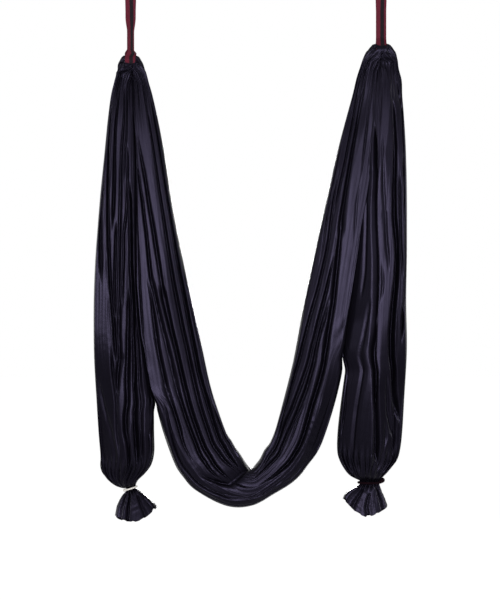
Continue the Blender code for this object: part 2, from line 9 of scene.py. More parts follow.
import bpy
import numpy as np
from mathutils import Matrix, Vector


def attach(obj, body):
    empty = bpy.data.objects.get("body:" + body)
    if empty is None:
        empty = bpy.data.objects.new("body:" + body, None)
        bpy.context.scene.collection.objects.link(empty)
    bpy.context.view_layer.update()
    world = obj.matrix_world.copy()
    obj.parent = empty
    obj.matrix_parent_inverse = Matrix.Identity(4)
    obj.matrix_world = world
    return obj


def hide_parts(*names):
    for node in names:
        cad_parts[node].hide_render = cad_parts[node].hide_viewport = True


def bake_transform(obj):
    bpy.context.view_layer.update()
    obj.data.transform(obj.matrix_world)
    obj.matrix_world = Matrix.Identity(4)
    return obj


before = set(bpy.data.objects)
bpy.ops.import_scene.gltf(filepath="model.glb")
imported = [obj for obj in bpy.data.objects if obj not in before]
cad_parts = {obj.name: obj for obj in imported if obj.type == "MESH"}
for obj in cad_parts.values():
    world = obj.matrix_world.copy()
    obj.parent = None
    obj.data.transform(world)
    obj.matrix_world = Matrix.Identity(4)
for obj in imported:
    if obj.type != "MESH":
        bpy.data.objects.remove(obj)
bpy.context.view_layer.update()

SIDES = {"left": -1, "right": 1}


def thousandths(rows, plain=None):
    """Rows of numbers written in thousandths, apart from one plain column."""
    return [tuple(v if k == plain else v / 1000 for k, v in enumerate(row)) for row in rows]


def line_of(points):
    """A line over the cloth: its points' shares of the length are in thousandths."""
    return [(share / 1000, *rest) for share, *rest in points]


def chart_of(*folds):
    """Folds: depth as a share of the section, reach in degrees to either side, and line."""
    return [(*fold[:3], line_of(fold[3])) for fold in folds]


# The same measures as in the solids, and the step along the visible webbing and how far
# it lies inside the solid one
GAP = 0.0003
HANG_SPAN = 0.668
HANG_BAR = -0.09225
BAR_RADIUS = 0.00525
EYE_WIDTH = 0.037
STRAP_DROP = {"left": 0.170, "right": 0.139}
STRAP_TWIST = {"left": 55.0, "right": 0.0}
WEB_WIDTH, WEB_THICKNESS = 0.028, 0.0016
WEB_STEP, WEB_INSET = 0.0018, 0.0002
EYE_TAPER, LOOP_TAPER = 0.020, 0.012
BUNDLE = 0.0374
LOOP_EXIT = WEB_WIDTH / 2 + 2 * GAP
TAIL_DROP = {"left": 1.131, "right": 1.146}
NECK_OUT = {"left": -0.0010, "right": -0.0307}
NECK_WIDTH = {"left": 0.026, "right": 0.053}
NECK_DEPTH = {"left": 0.024, "right": 0.034}
TIE_CORD = {"left": 0.0045, "right": 0.0060}
KNOT = {"left": 0.0080, "right": 0.0140}
NECK_SHOWN = 0.0022
NECK = {side: cord + 2 * NECK_SHOWN for side, cord in TIE_CORD.items()}

# The middle of each strap's lower loop, as x and z
HITCH = {side: (x, HANG_BAR - STRAP_DROP[side])
         for side, x in (("left", 0.0), ("right", HANG_SPAN))}

# Control rows, as in the solids.  The seat's is x, z, degrees, width and depth.  The
# others lead to it and down the tails: shares of the way from a hitch to it, across and down
# (ARM), outward and up from the loop's face (TURN), or outward from the hitch and share
# of the drop (TAIL), then degrees but for the tails, width and depth.
SEAT = (HANG_SPAN / 2 - 0.010, -1.391, 90, 0.104, 0.122)
ARM = {
    "left": thousandths((
        (89, 46, 6, 40, 44), (112, 90, 7, 52, 46), (160, 208, 7, 73, 56),
        (202, 326, 7, 87, 66), (254, 443, 8, 102, 74), (312, 561, 9, 121, 84),
        (374, 679, 10, 139, 92), (443, 796, 14, 154, 100), (562, 902, 30, 161, 108),
        (636, 938, 38, 161, 112), (710, 963, 46, 154, 116), (870, 994, 68, 130, 120)), 2),
    "right": thousandths((
        (93, 34, 14, 45, 45), (118, 67, 11, 53, 46), (146, 113, 12, 58, 48),
        (224, 228, 10, 75, 56), (289, 343, 9, 90, 66), (413, 572, 9, 121, 84),
        (497, 733, 12, 135, 98), (624, 871, 25, 132, 108), (713, 925, 35, 118, 112),
        (785, 952, 45, 115, 116), (893, 981, 66, 97, 120)), 2),
}
TURN = {
    "left": thousandths(((4.6, -2.6, 76, 39, 39), (7.4, -17, 42, 34, 43)), 2),
    "right": thousandths(((5.9, -2, 74, 40, 40), (10.4, -15, 40, 40, 46)), 2),
}
TAIL = {
    "left": thousandths((
        (19, 28, 42, 45), (20.6, 48, 50, 47), (25, 91, 61, 52), (29, 209, 80, 64),
        (31.5, 327, 101, 76), (32, 445, 121, 86), (30.5, 563, 135, 94), (25.3, 682, 145, 98),
        (14.5, 800, 152, 100), (11, 871, 149, 100), (8.5, 918, 145, 98), (11, 947, 137, 94),
        (16, 968, 114, 84), (18.5, 984, 84, 66), (12, 995, 56, 44))),
    "right": thousandths((
        (23, 36, 50, 47), (24.5, 68, 62, 49), (21.5, 115, 73, 56), (15.5, 231, 101, 70),
        (8.8, 348, 120, 80), (2.2, 464, 133, 88), (-5.5, 580, 144, 95),
        (-10.5, 697, 158, 100), (-22.8, 813, 168, 104), (-29.8, 883, 172, 104),
        (-33.5, 929, 168, 102), (-34.5, 953, 154, 98), (-37, 976, 119, 86),
        (-37, 990, 88, 66))),
}

# How the necks lie: slope of the neck, and how far the knot sits above the tie
NECK_SLANT = {"left": 0.32, "right": 0.0}
KNOT_UP = {"left": 0.0, "right": 0.006}

# Where the sling's outer fold meets the tail, seen from the front: height and x
BORDER = {
    "left": thousandths((
        (-264, 6.2), (-282.7, 6.4), (-389.3, 9.1), (-496, 13.1), (-629.3, 17.1),
        (-749.3, 18.4), (-856, 18.4), (-922.7, 23.7), (-989.3, 30.4), (-1029.3, 38.4),
        (-1096, 49.1), (-1157.3, 59.7), (-1176, 65.1))),
    "right": thousandths((
        (-216, 670.4), (-282.7, 662.4), (-336, 657.1), (-389.3, 653.1), (-442.7, 650.4),
        (-496, 645.1), (-562.7, 637.1), (-616, 629.1), (-696, 614.4), (-776, 603.7),
        (-842.7, 593.1), (-896, 585.1), (-976, 574.4), (-1069.3, 565.1))),
}

# Height below which the cloth closes over the front of the strap's loop, the webbing's
# outer radius there, how far the cloth stands off it, and the width that is drawn in
CLOSED = {"left": -0.2672, "right": -0.2200}
LOOP_RADIUS = 0.0207
STAND_OFF = 0.0018
DRAWN = 0.026

# Height by which the tail and the sling's arm have parted, and are fully pressed together,
# how far the front leans over the border there, and how far an edge may move to meet it
PARTING = {"left": (-1.20, -1.12), "right": (-1.09, -1.00)}
BORDER_LEAN = 0.006
MOST_MOVED = (-0.035, 0.016)

# The wrap's section: exponent that fills it out, how much thinner it is away from the
# side that stands forward, the exponent that squares up a pressed side, and the size of
# the core and its number of layers inside
FULLNESS = 0.62
SKEW = 0.45
SQUARE = 2.2
CORE = 0.43
LEGS = 48

# Folds against the charts: how much deeper and narrower they are made, how much flatter
# inside a facet, and the share of the length over which a line's corners are rounded
DEEPER = 1.5
NARROWER = 0.72
FLATTER = 0.2
CORNER = 0.008

# Radians over which folds fade towards a pressed side, and the strength of the fine
# wrinkles: all over, and what is added where the cloth is drawn together
CALM_REACH = 0.75
FINE, FINE_NEAR = 0.10, 0.45

# The wrap's columns, in radians round the section: half a turn over the front and half
# over the back.  They run from the free edge behind once round and a little further,
# where the cloth lies below the free edge, and are finer over the front.
WRAP_START = 4.75
WRAP_END = WRAP_START + math.tau + 0.22
BELOW_EDGE = 0.0034
FRONT_START, FRONT_END = math.tau, math.tau + math.pi
TURNS = np.concatenate([np.linspace(WRAP_START, FRONT_START, 46)[:-1],
                        np.linspace(FRONT_START, FRONT_END, 170),
                        np.linspace(FRONT_END, WRAP_END, 46)[1:]])

# Fold charts.  A line runs from the piece's left or upper end: share of the length, and
# degrees round over the front, from the sling's outer edge or a tail's left edge.
FOLDS = {
    "sling": chart_of(
        (0.34, 9, 9, ((70, 28), (86, 39), (99, 49), (127, 64), (182, 79), (236, 89),
            (300, 94), (363, 98), (432, 99), (505, 90))),
        (0.3, 8, 7, ((95, 16), (118, 31), (154, 49), (182, 57), (236, 65), (245, 70),
            (291, 79), (350, 84), (418, 87), (490, 81))),
        (0.28, 8, 7, ((230, 54), (259, 62), (295, 63), (309, 60), (363, 65), (390, 68),
            (413, 64), (440, 70))),
        (0.2, 9, 9, ((20, 92), (59, 100), (168, 114), (250, 116), (359, 119), (436, 117),
            (510, 122))),
        (0.24, 10, 10, ((20, 135), (109, 135), (168, 142), (250, 139), (341, 135), (377, 139),
            (432, 136), (512, 126))),
        (0.11, 9, 9, ((220, 158), (309, 159), (341, 166), (405, 157), (510, 158))),
        (0.15, 8, 8, ((350, 57), (363, 52), (390, 45), (418, 38), (440, 42), (459, 46),
            (482, 56), (509, 68), (520, 78))),
        (0.1, 7, 7, ((80, 4), (100, 10), (150, 14), (190, 21), (232, 29), (259, 27),
            (320, 18))),
        (0.06, 6, 6, ((400, 22), (430, 28), (455, 25), (480, 31), (510, 33), (530, 38),
            (550, 41), (570, 32), (590, 26))),
        (0.11, 5, 5, ((445, 48), (465, 54), (480, 62), (500, 70), (515, 74))),
        (0.1, 5, 5, ((460, 44), (480, 50), (497, 60), (507, 53), (515, 52), (530, 56),
            (545, 52))),
        (0.1, 6, 6, ((430, 10), (460, 8), (490, 14), (520, 18), (545, 14))),
        (0.3, 13, 12, ((498, 92), (513, 87), (523, 84), (550, 80), (580, 82), (609, 84),
            (650, 80), (700, 76), (723, 75), (768, 84), (812, 93), (850, 97), (941, 101),
            (985, 99))),
        (0.22, 9, 9, ((484, 108), (495, 117), (513, 121), (541, 114), (555, 119), (568, 120),
            (600, 111), (627, 105), (645, 104), (686, 96), (720, 86), (740, 79))),
        (0.22, 9, 9, ((500, 122), (520, 128), (540, 133), (568, 137), (586, 134), (595, 128),
            (640, 117), (682, 107), (732, 97), (780, 93))),
        (0.18, 10, 9, ((490, 134), (523, 138), (568, 148), (591, 153), (640, 145), (680, 135),
            (732, 120), (768, 117), (791, 118), (836, 131), (870, 134))),
        (0.1, 6, 6, ((497, 148), (536, 154), (577, 163), (610, 160))),
        (0.11, 6, 6, ((545, 105), (565, 107), (591, 106), (625, 96))),
        (0.1, 9, 9, ((690, 154), (750, 156), (791, 156), (836, 150), (910, 148))),
        (0.09, 8, 8, ((755, 134), (786, 133), (809, 141), (855, 143))),
        (0.06, 9, 9, ((780, 30), (796, 42), (836, 58), (868, 57))),
        (0.13, 8, 8, ((850, 58), (868, 57), (919, 63), (941, 69), (985, 70))),
        (0.18, 9, 9, ((800, 115), (827, 119), (877, 116), (923, 121), (946, 129),
            (985, 132))),
        (0.03, 9, 9, ((540, 48), (570, 44), (610, 41), (660, 36)))),
    "left": chart_of(
        (0.18, 9, 8, ((90, 35), (110, 37), (196, 40), (224, 46), (330, 58), (432, 69),
            (530, 78), (619, 84), (712, 82))),
        (0.15, 13, 11, ((240, 24), (282, 30), (353, 34), (396, 39), (440, 44), (520, 52))),
        (0.24, 9, 10, ((50, 75), (67, 73), (160, 68), (230, 71), (296, 75), (340, 76),
            (395, 76))),
        (0.2, 10, 10, ((40, 96), (59, 99), (110, 105), (160, 101), (210, 96), (300, 97),
            (400, 98), (470, 99), (562, 100), (620, 96), (684, 91), (735, 81), (790, 75))),
        (0.2, 8, 7, ((370, 86), (400, 87), (450, 88), (576, 88), (610, 87))),
        (0.14, 8, 8, ((40, 122), (59, 121), (120, 118), (181, 116), (203, 110), (290, 108))),
        (0.2, 8, 7, ((190, 120), (231, 123), (300, 121), (353, 119), (403, 111), (468, 112),
            (520, 110), (580, 106))),
        (0.34, 9, 13, ((280, 130), (303, 130), (380, 133), (475, 136), (519, 141), (576, 140),
            (640, 133), (720, 122), (791, 113), (850, 112), (906, 113), (950, 117))),
        (0.16, 9, 9, ((600, 150), (676, 139), (740, 132), (798, 126), (870, 125), (920, 126),
            (956, 133))),
        (0.28, 10, 12, ((530, 131), (548, 128), (580, 125), (619, 121), (680, 111),
            (748, 100), (790, 94), (834, 90), (863, 90), (884, 93), (927, 96), (965, 99))),
        (0.14, 7, 7, ((660, 74), (676, 73), (730, 72), (784, 73), (860, 72), (930, 76))),
        (0.06, 12, 9, ((730, 30), (762, 37), (798, 43), (856, 58), (906, 66), (960, 68))),
        (0.14, 9, 9, ((760, 160), (820, 158), (863, 153), (877, 150), (949, 152)))),
    "right": chart_of(
        (0.09, 9, 9, ((40, 52), (59, 54), (102, 60), (195, 57))),
        (0.2, 9, 9, ((50, 122), (74, 126), (110, 138), (145, 150), (203, 146), (246, 148),
            (282, 143), (310, 148), (360, 148), (450, 154), (540, 159), (583, 156),
            (612, 148), (680, 141))),
        (0.3, 12, 10, ((110, 105), (153, 109), (210, 111), (250, 110), (324, 110), (389, 114),
            (446, 123), (490, 126), (533, 126), (570, 124), (612, 121), (662, 118),
            (712, 120), (760, 126), (805, 131), (841, 143), (870, 157))),
        (0.34, 12, 9, ((170, 36), (196, 42), (240, 49), (289, 56), (346, 60), (390, 66),
            (439, 72), (489, 78), (533, 82), (570, 84), (619, 85), (734, 87), (800, 93),
            (850, 98), (906, 103), (934, 104), (977, 112))),
        (0.06, 9, 7, ((560, 76), (583, 75), (630, 71), (684, 66), (770, 63), (834, 60),
            (934, 59), (970, 55))),
        (0.07, 9, 9, ((190, 68), (224, 68), (267, 76), (332, 82), (390, 92), (439, 97),
            (520, 109))),
        (0.05, 8, 8, ((200, 25), (239, 22), (282, 29), (346, 30), (390, 20))),
        (0.05, 9, 9, ((340, 34), (410, 47), (519, 57), (590, 56))),
        (0.09, 8, 8, ((280, 126), (296, 127), (380, 131), (461, 135), (530, 148))),
        (0.04, 7, 7, ((480, 88), (510, 93), (540, 97), (565, 97), (600, 92))),
        (0.12, 8, 8, ((745, 109), (800, 115), (841, 119), (877, 129), (927, 150))),
        (0.12, 8, 8, ((765, 134), (813, 137), (850, 135), (927, 139), (965, 144))),
        (0.08, 8, 8, ((700, 22), (755, 20), (827, 30), (900, 28))),
        (0.08, 7, 7, ((845, 113), (899, 119), (940, 114)))),
}

# The near arm's folds go under the far arm's along this line: degrees, share of length
SLING_TUCK = ((60, 0.448), (66, 0.453), (72, 0.464), (83, 0.475), (107, 0.480),
              (131, 0.485), (156, 0.491), (180, 0.497), (215, 0.503))

# Facets.  A facet is a flat part of the cloth's front: its line is the share of the
# length, degrees round, reach to either side, and the degrees by which it faces right.
FACETS = {
    "sling": [line_of(points) for points in (
        ((48, 32, 32, 0), (64, 40, 28, 0), (97, 62, 18, 0), (130, 79, 14, 0),
         (163, 85, 12, 0), (195, 89, 10, 2), (228, 95, 10, 4)),
        ((144, 19, 19, 0), (161, 20, 20, 0), (193, 24, 24, 0), (225, 28, 22, 0),
         (257, 31, 20, 0), (288, 26, 20, 0), (322, 24, 24, 0), (353, 24, 24, 3),
         (374, 22, 22, 8)),
        ((98, 113, 29, 12), (164, 125, 25, 12), (230, 134, 21, 12), (296, 134, 22, 13),
         (363, 136, 24, 14), (401, 130, 16, 15)),
        ((532, 26, 26, 34), (549, 29, 29, 34), (577, 35, 32, 34), (609, 40, 24, 32),
         (639, 48, 20, 12), (671, 49, 18, 2), (704, 44, 23, 0), (737, 38, 31, 0),
         (770, 35, 35, 0), (802, 36, 36, 0), (835, 39, 39, 0), (869, 48, 38, 0),
         (901, 52, 24, 2), (923, 52, 20, 6)),
        ((607, 146, 34, -16), (665, 136, 29, -16), (732, 127, 26, -16), (798, 130, 30, -16),
         (864, 146, 34, -16), (931, 128, 32, -17)),
        ((250, 78, 24, 10), (300, 80, 28, 11), (360, 82, 32, 12), (430, 86, 34, 12)),
        ((900, 90, 50, -12), (925, 90, 60, -18), (945, 90, 66, -22)))],
    "left": [line_of(points) for points in (
        ((230, 30, 12, -4), (277, 32, 12, 0), (347, 39, 14, 0), (416, 40, 19, 0),
         (486, 40, 22, 0), (556, 42, 24, 0), (630, 43, 27, 0), (670, 42, 27, -5),
         (710, 43, 27, -12), (773, 48, 26, -22), (835, 46, 30, -28), (894, 46, 28, -30),
         (1040, 48, 25, -30)),
        ((742, 94, 12, 3), (789, 90, 12, 0), (835, 91, 13, -6), (890, 90, 14, -16),
         (1040, 90, 14, -24)),
        ((754, 136, 20, 24), (835, 132, 20, 24), (894, 132, 22, 24), (1040, 130, 18, 24)))],
    "right": [line_of(points) for points in (
        ((280, 42, 18, -22), (350, 48, 19, -23), (419, 52, 24, -24), (488, 52, 28, -24),
         (558, 54, 32, -24), (627, 56, 32, -24), (696, 49, 26, -24), (766, 40, 34, -24),
         (835, 42, 26, -24), (905, 45, 25, -24), (1040, 44, 24, -24)),
        ((65, 90, 66, 30), (110, 90, 60, 28), (150, 91, 44, 24), (200, 90, 30, 19),
         (250, 88, 22, 12), (300, 90, 21, 5), (350, 96, 24, 0), (419, 106, 26, 0),
         (488, 105, 18, 0), (558, 108, 16, 0), (627, 106, 10, 0), (696, 108, 10, 8),
         (766, 108, 12, 18), (860, 108, 14, 22), (1040, 108, 14, 24)),
        ((211, 134, 14, 5), (350, 142, 14, 5), (488, 146, 14, 5), (627, 148, 14, 5),
         (700, 148, 17, 10), (766, 146, 17, 22), (835, 140, 20, 22), (1040, 140, 22, 22)),
        ((696, 82, 6, -8), (766, 80, 6, -12), (835, 80, 12, -18), (1040, 84, 12, -24)))],
}

# Short cross wrinkles: share, degrees, reach of each, height
PATCHES = {
    "sling": (
        (0.330, 38, 0.028, 16, 0.0011), (0.372, 44, 0.022, 16, 0.0011),
        (0.690, 60, 0.012, 14, 0.0016), (0.605, 66, 0.035, 13, 0.0009),
        (0.452, 72, 0.016, 20, 0.0012), (0.520, 40, 0.020, 30, 0.0010),
        (0.560, 52, 0.030, 18, 0.0007), (0.200, 86, 0.020, 18, 0.0006),
        (0.780, 50, 0.030, 22, 0.0005), (0.480, 250, 0.060, 60, 0.0010)),
    "left": (
        (0.665, 45, 0.045, 26, 0.0012), (0.735, 42, 0.040, 24, 0.0010),
        (0.960, 86, 0.020, 30, 0.0010), (0.570, 112, 0.012, 14, 0.0012),
        (0.850, 60, 0.040, 20, 0.0005), (0.500, 250, 0.20, 60, 0.0006)),
    "right": (
        (0.810, 82, 0.030, 18, 0.0008), (0.900, 84, 0.040, 16, 0.0008),
        (0.700, 101, 0.015, 12, 0.0008), (0.855, 128, 0.035, 22, 0.0010),
        (0.930, 92, 0.020, 20, 0.0010), (0.500, 250, 0.20, 60, 0.0006)),
    "tuft": (
        (0.30, 70, 0.18, 34, 0.0008), (0.55, 110, 0.20, 34, 0.0004),
        (0.75, 55, 0.16, 30, 0.0004), (0.45, 250, 0.30, 70, 0.0012)),
}

# Random draws of each piece: folds behind, gathers, streaks, cross wrinkles
SEEDS = {"sling": (11, 23, 21, 31), "left": (40, 50, 60, 71), "right": (42, 52, 62, 71)}

# Tufts: sides of the fan as share of the way down and distance from the hitch's middle
# line, and the hem's drop below the neck against place across
TUFT_SIDES = {
    "left": (
        thousandths(((0, -12.8), (130, -20), (400, -30), (630, -37), (1000, -41.5))),
        thousandths(((0, 13.2), (190, 31), (450, 47.5), (750, 63), (1000, 70.5)))),
    "right": (
        thousandths(((0, -57.3), (200, -70), (470, -88.5), (750, -98.5), (1000, -102))),
        thousandths(((0, -4.3), (320, 2), (600, 9.5), (890, 15), (1000, 16.5)))),
}
TUFT_HEM = {
    "left": thousandths(((-1000, 77), (-800, 83), (-500, 88), (0, 89.5), (300, 85), (600, 74),
        (850, 62), (1000, 55))),
    "right": thousandths(((-1000, 48), (-800, 60), (-500, 78), (-200, 89), (0, 93.5),
        (300, 90), (600, 82), (850, 74), (1000, 68))),
}
TUFT_DEPTH = {"left": 0.040, "right": 0.034}
TUFT_RADIUS = 0.035
TUFT_FOLDS = {
    "left": chart_of(
        (0.34, 15, 12, ((0, 82), (500, 73), (1000, 68))),
        (0.22, 12, 16, ((0, 50), (500, 46), (1000, 40))),
        (0.16, 16, 12, ((200, 122), (600, 118), (1000, 122))),
        (0.1, 9, 9, ((400, 146), (700, 148), (1000, 150)))),
    "right": chart_of(
        (0.3, 16, 14, ((0, 132), (500, 140), (1000, 142))),
        (0.18, 12, 16, ((0, 60), (400, 62), (1000, 52))),
        (0.14, 14, 12, ((300, 98), (700, 92), (1000, 96))),
        (0.1, 9, 9, ((200, 28), (700, 26), (1000, 24)))),
}


def put(name, mesh, material, body=None):
    """Add a piece, which rides on a body if one is given."""
    made = bpy.data.objects.new(name, mesh)
    bpy.context.scene.collection.objects.link(made)
    made.data.materials.append(material)
    if body:
        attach(made, body)
    return made


def grid_mesh(name, grid, uv, closed=False):
    """A mesh over a grid of points, with each point's own two numbers as its UV."""
    rows, columns = grid.shape[:2]
    down = np.arange(rows if closed else rows - 1)
    over = np.arange(columns if closed else columns - 1)
    below, beside = (down + 1) % rows, (over + 1) % columns
    corners = np.stack([down[:, None] * columns + over, down[:, None] * columns + beside,
                        below[:, None] * columns + beside, below[:, None] * columns + over],
                       axis=-1).reshape(-1, 4)
    mesh = bpy.data.meshes.new(name)
    mesh.vertices.add(rows * columns)
    mesh.vertices.foreach_set("co", grid.reshape(-1).astype(np.float32))
    mesh.loops.add(corners.size)
    mesh.loops.foreach_set("vertex_index", corners.reshape(-1).astype(np.int32))
    mesh.polygons.add(len(corners))
    mesh.polygons.foreach_set("loop_start", np.arange(0, corners.size, 4, dtype=np.int32))
    mesh.update(calc_edges=True)
    if uv is not None:
        layer = mesh.uv_layers.new(name="cloth")
        layer.data.foreach_set("uv", uv.reshape(-1, 2)[corners.reshape(-1)].reshape(-1)
                               .astype(np.float32))
    mesh.shade_smooth()
    return mesh


def smooth_rows(rows, count):
    """Read rows of numbers at even steps from a smooth curve through them."""
    rows = np.array(rows, float)
    last = len(rows) - 1
    spot = last * np.arange(count) / (count - 1)
    i = np.minimum(spot.astype(int), last - 1)
    t = (spot - i)[:, None]
    a, b = rows[np.maximum(i - 1, 0)], rows[i]
    c, d = rows[i + 1], rows[np.minimum(i + 2, last)]
    return 0.5 * (2 * b + (c - a) * t + (2 * a - 5 * b + 4 * c - d) * t * t
                  + (3 * b - a - 3 * c + d) * t ** 3)


def step(value, low, high):
    """Smooth change from 0 at low to 1 at high."""
    t = np.clip((value - low) / (high - low), 0, 1)
    return t * t * (3 - 2 * t)


def at_ends(marks, near, far=None):
    """1 at both ends of the length, falling to 0 between two shares in from each end."""
    low, high = far or near
    return 1 - step(marks, *near) * step(-marks, low - 1, high - 1)


def around(turns, middle):
    """Angles from a middle, from minus to plus half a turn."""
    return (turns - middle + math.pi) % math.tau - math.pi


def border(side, height):
    """Where the sling and the tail meet at a height."""
    table = np.array(BORDER[side])[::-1]
    return np.interp(height, table[:, 0], table[:, 1])


def meet(side, rows, edge, sense):
    """Move one edge of each row, -1 or 1, so that it meets the neighbour's.

    The piece lies to the right of the border where sense is 1, to the left where it is
    -1.  Gives how firmly each row is pressed against the neighbour.
    """
    turn = np.radians(rows[:, 2])
    for _ in range(3):
        level = rows[:, 1] + edge * np.sin(turn) * rows[:, 3] / 2
        reach = rows[:, 0] + edge * np.cos(turn) * rows[:, 3] / 2
        firm = step(level, *PARTING[side]) * step(np.abs(np.cos(turn)), 0.50, 0.72)
        middle = border(side, level) - SIDES[side] * 0.8 * BORDER_LEAN
        more = (middle + sense * GAP / 2 - reach) / (edge * np.cos(turn))
        more = np.clip(more, *MOST_MOVED) * firm
        rows[:, 0] += edge * np.cos(turn) * more / 2
        rows[:, 1] += edge * np.sin(turn) * more / 2
        rows[:, 3] += more
    return firm


def close_up(side, grid, sense):
    """Draw the cloth together below the strap's loop and over the loop's front and back."""
    x, y, z = (grid[..., k] for k in range(3))
    x0, z0 = HITCH[side]
    closed = -CLOSED[side]
    low = step(-z, closed - 0.003, closed + 0.004)
    front = step(np.abs(y), 0.003, 0.010)
    outside = np.maximum(front, step(-z, 0.004 - z0, 0.036 - z0))

    # Over to the border, most of all what lies nearest to it
    middle = border(side, z)
    short = np.abs(x0 + sense * LOOP_EXIT - middle) * step(z, z0 - 0.034, z0 - 0.020)
    clear = (x - middle) * sense
    x = x - sense * short * low * outside * (1 - step(clear, short, short + 0.036))
    clear = np.maximum((x - middle) * sense, 0)
    close = DRAWN * np.minimum(clear / DRAWN, 1) ** SQUARE + np.maximum(clear - DRAWN, 0)
    firm = low * outside * step(z, z0 - 0.062, z0 - 0.032)
    x = x + sense * firm * (close + GAP / 2 - clear)

    # Over the webbing's loop the cloth stands off it, and beside it the cloth stays clear
    over_loop = (step(-z, closed - 0.009, closed - 0.003)
                 * np.maximum(front, step(-z, 0.0185 - z0, 0.022 - z0))
                 * (1 - step(np.abs(x - x0), 0.0150, 0.0185)))
    webbing = np.sqrt(np.maximum(LOOP_RADIUS ** 2 - (z - z0) ** 2, 0)) + STAND_OFF
    webbing = np.where(np.abs(z - z0) < LOOP_RADIUS + STAND_OFF, webbing, 0)
    y = np.where(y < 0, -1, 1) * np.maximum(np.abs(y), webbing * over_loop)
    beside = x0 + sense * np.maximum((x - x0) * sense, LOOP_EXIT)
    x = np.where(np.hypot(y, z - z0) < LOOP_RADIUS + 0.0002, beside, x)
    drop = 0.34 * np.clip(np.abs(x - x0) - LOOP_EXIT - 0.001, 0, 0.022)
    z = z - drop * step(z, z0 - 0.006, z0 + 0.012)
    return np.stack([x, y, z], axis=-1)


def sling_path():
    """Control rows of the sling: x, z, direction, width, depth."""
    rows = {}
    for side, sign in SIDES.items():
        x0, z0 = HITCH[side]
        arm = [(x0 - sign * LOOP_EXIT, z0, 90, BUNDLE, BUNDLE)]
        arm += [(x0 - sign * (LOOP_EXIT + out), z0 + up, turn, width, depth)
                for out, up, turn, width, depth in TURN[side]]
        arm += [(x0 + across * (SEAT[0] - x0), z0 + down * (SEAT[1] - z0), *rest)
                for across, down, *rest in ARM[side]]
        rows[side] = [(x, z, turn if sign < 0 else 180 - turn, width, depth)
                      for x, z, turn, width, depth in arm]
    return rows["left"] + [SEAT] + rows["right"][::-1]


def tail_path(side):
    """Control rows of a tail, from the strap's loop to its neck."""
    sign = SIDES[side]
    x0, z0 = HITCH[side]
    rows = [(LOOP_EXIT, 0, 90, BUNDLE, BUNDLE)]
    rows += [(LOOP_EXIT + out, *rest) for out, *rest in TURN[side]]
    rows += [(out, -share * TAIL_DROP[side], 0, width, depth)
             for out, share, width, depth in TAIL[side]]
    rows.append((NECK_OUT[side], -TAIL_DROP[side], 0, NECK_WIDTH[side], NECK_DEPTH[side]))
    return [(x0 + sign * out, z0 + up, sign * turn, width, depth)
            for out, up, turn, width, depth in rows]


def along(path, shares):
    """Rows of a path at given shares of its length, and that length."""
    dense = smooth_rows(path, 3000)
    run = np.concatenate(([0], np.cumsum(np.hypot(*np.diff(dense[:, :2], axis=0).T))))
    at = np.clip(shares, 0, 1) * run[-1]
    rows = np.stack([np.interp(at, run, dense[:, k]) for k in range(5)], axis=1)
    return rows, run[-1]


def bend(line, shares):
    """The angle of a fold's line at each share of the length, rounded at its corners."""
    line = np.array(line)
    fine = np.linspace(line[0, 0] - 0.03, line[-1, 0] + 0.03, 600)
    turn = np.interp(fine, line[:, 0], line[:, 1])
    reach = max(3, int(CORNER / (fine[1] - fine[0])))
    kernel = np.hanning(2 * reach + 1)
    kernel /= kernel.sum()
    turn = np.convolve(np.pad(turn, reach, mode="edge"), kernel, "valid")
    return np.radians(np.interp(shares, fine, turn))


def pressed_in(centre, pressed, side):
    """The angle at which a fold has to start so that squaring up puts it in its place."""
    across = -np.cos(centre)
    size = np.clip(across * side, 0, 1)
    back = 1 - (1 - size) ** (1 / SQUARE)
    moved = np.where(across * side > 0, side * (size + (back - size) * pressed), across)
    return np.where(np.sin(centre) >= 0, np.arccos(-moved), math.tau - np.arccos(-moved))


def folds(chart, shares, length, radius, pressed=0.0, side=-1, fade=0.05):
    """How deep each point lies in the folds of a chart, as a share of the section.

    A fold is steep on the side towards the bundle's middle and slopes gently on the
    other, so that the cloth between folds lies in layers that face forward.  It narrows
    as it fades at its ends, and keeps its width where it runs aslant or is pressed.
    """
    total = np.zeros((len(shares), len(TURNS)))
    for depth, before, after, line in chart:
        centre = pressed_in(bend(line, shares), pressed, side)
        live = (step(shares, line[0][0], line[0][0] + fade)
                * step(-shares, -line[-1][0], -line[-1][0] + fade))
        slope = np.gradient(centre) / np.maximum(np.gradient(shares) * length, 1e-6)
        spread = np.sqrt(1 + (slope * radius) ** 2)
        away = around(TURNS, centre[:, None])
        outward = (-np.cos(centre) * np.sign(np.sin(centre)))[:, None] * np.sign(away)
        outward = np.clip(outward, 0, 1)
        size = -np.cos(centre) * side
        wider = np.where(size > 0, SQUARE * (1 - np.clip(size, 0, 1)) ** (SQUARE - 1), 1)
        spread /= np.maximum(1 + pressed * (wider - 1), 0.8)
        spread *= NARROWER * (0.3 + 0.7 * live)
        reach = np.radians(np.where(away < 0, before, after)) * spread[:, None]
        reach = reach * (1 + 0.5 * outward)
        near = np.sqrt((away / reach) ** 2 + 0.010)
        dip = np.clip(1 - near, 0, 1) ** (2.0 - 0.8 * outward)
        total += (depth * live[:, None] * dip) ** 3
    return total ** (1 / 3)


def slimmed(across, skew, forward):
    """The share of its depth that a section keeps at a place across.

    It is thickest towards the side that stands forward, -1 or 1.
    """
    return 1 - np.reshape(skew, (-1, 1)) * (1 - across * forward) / 2


def squared(across, pressed, side):
    """Square up the side of a section that is pressed against its neighbour."""
    size = np.clip(np.abs(across), 0, 1)
    full = np.where(across * side > 0, side * (1 - (1 - size) ** SQUARE), across)
    return across + (full - across) * pressed


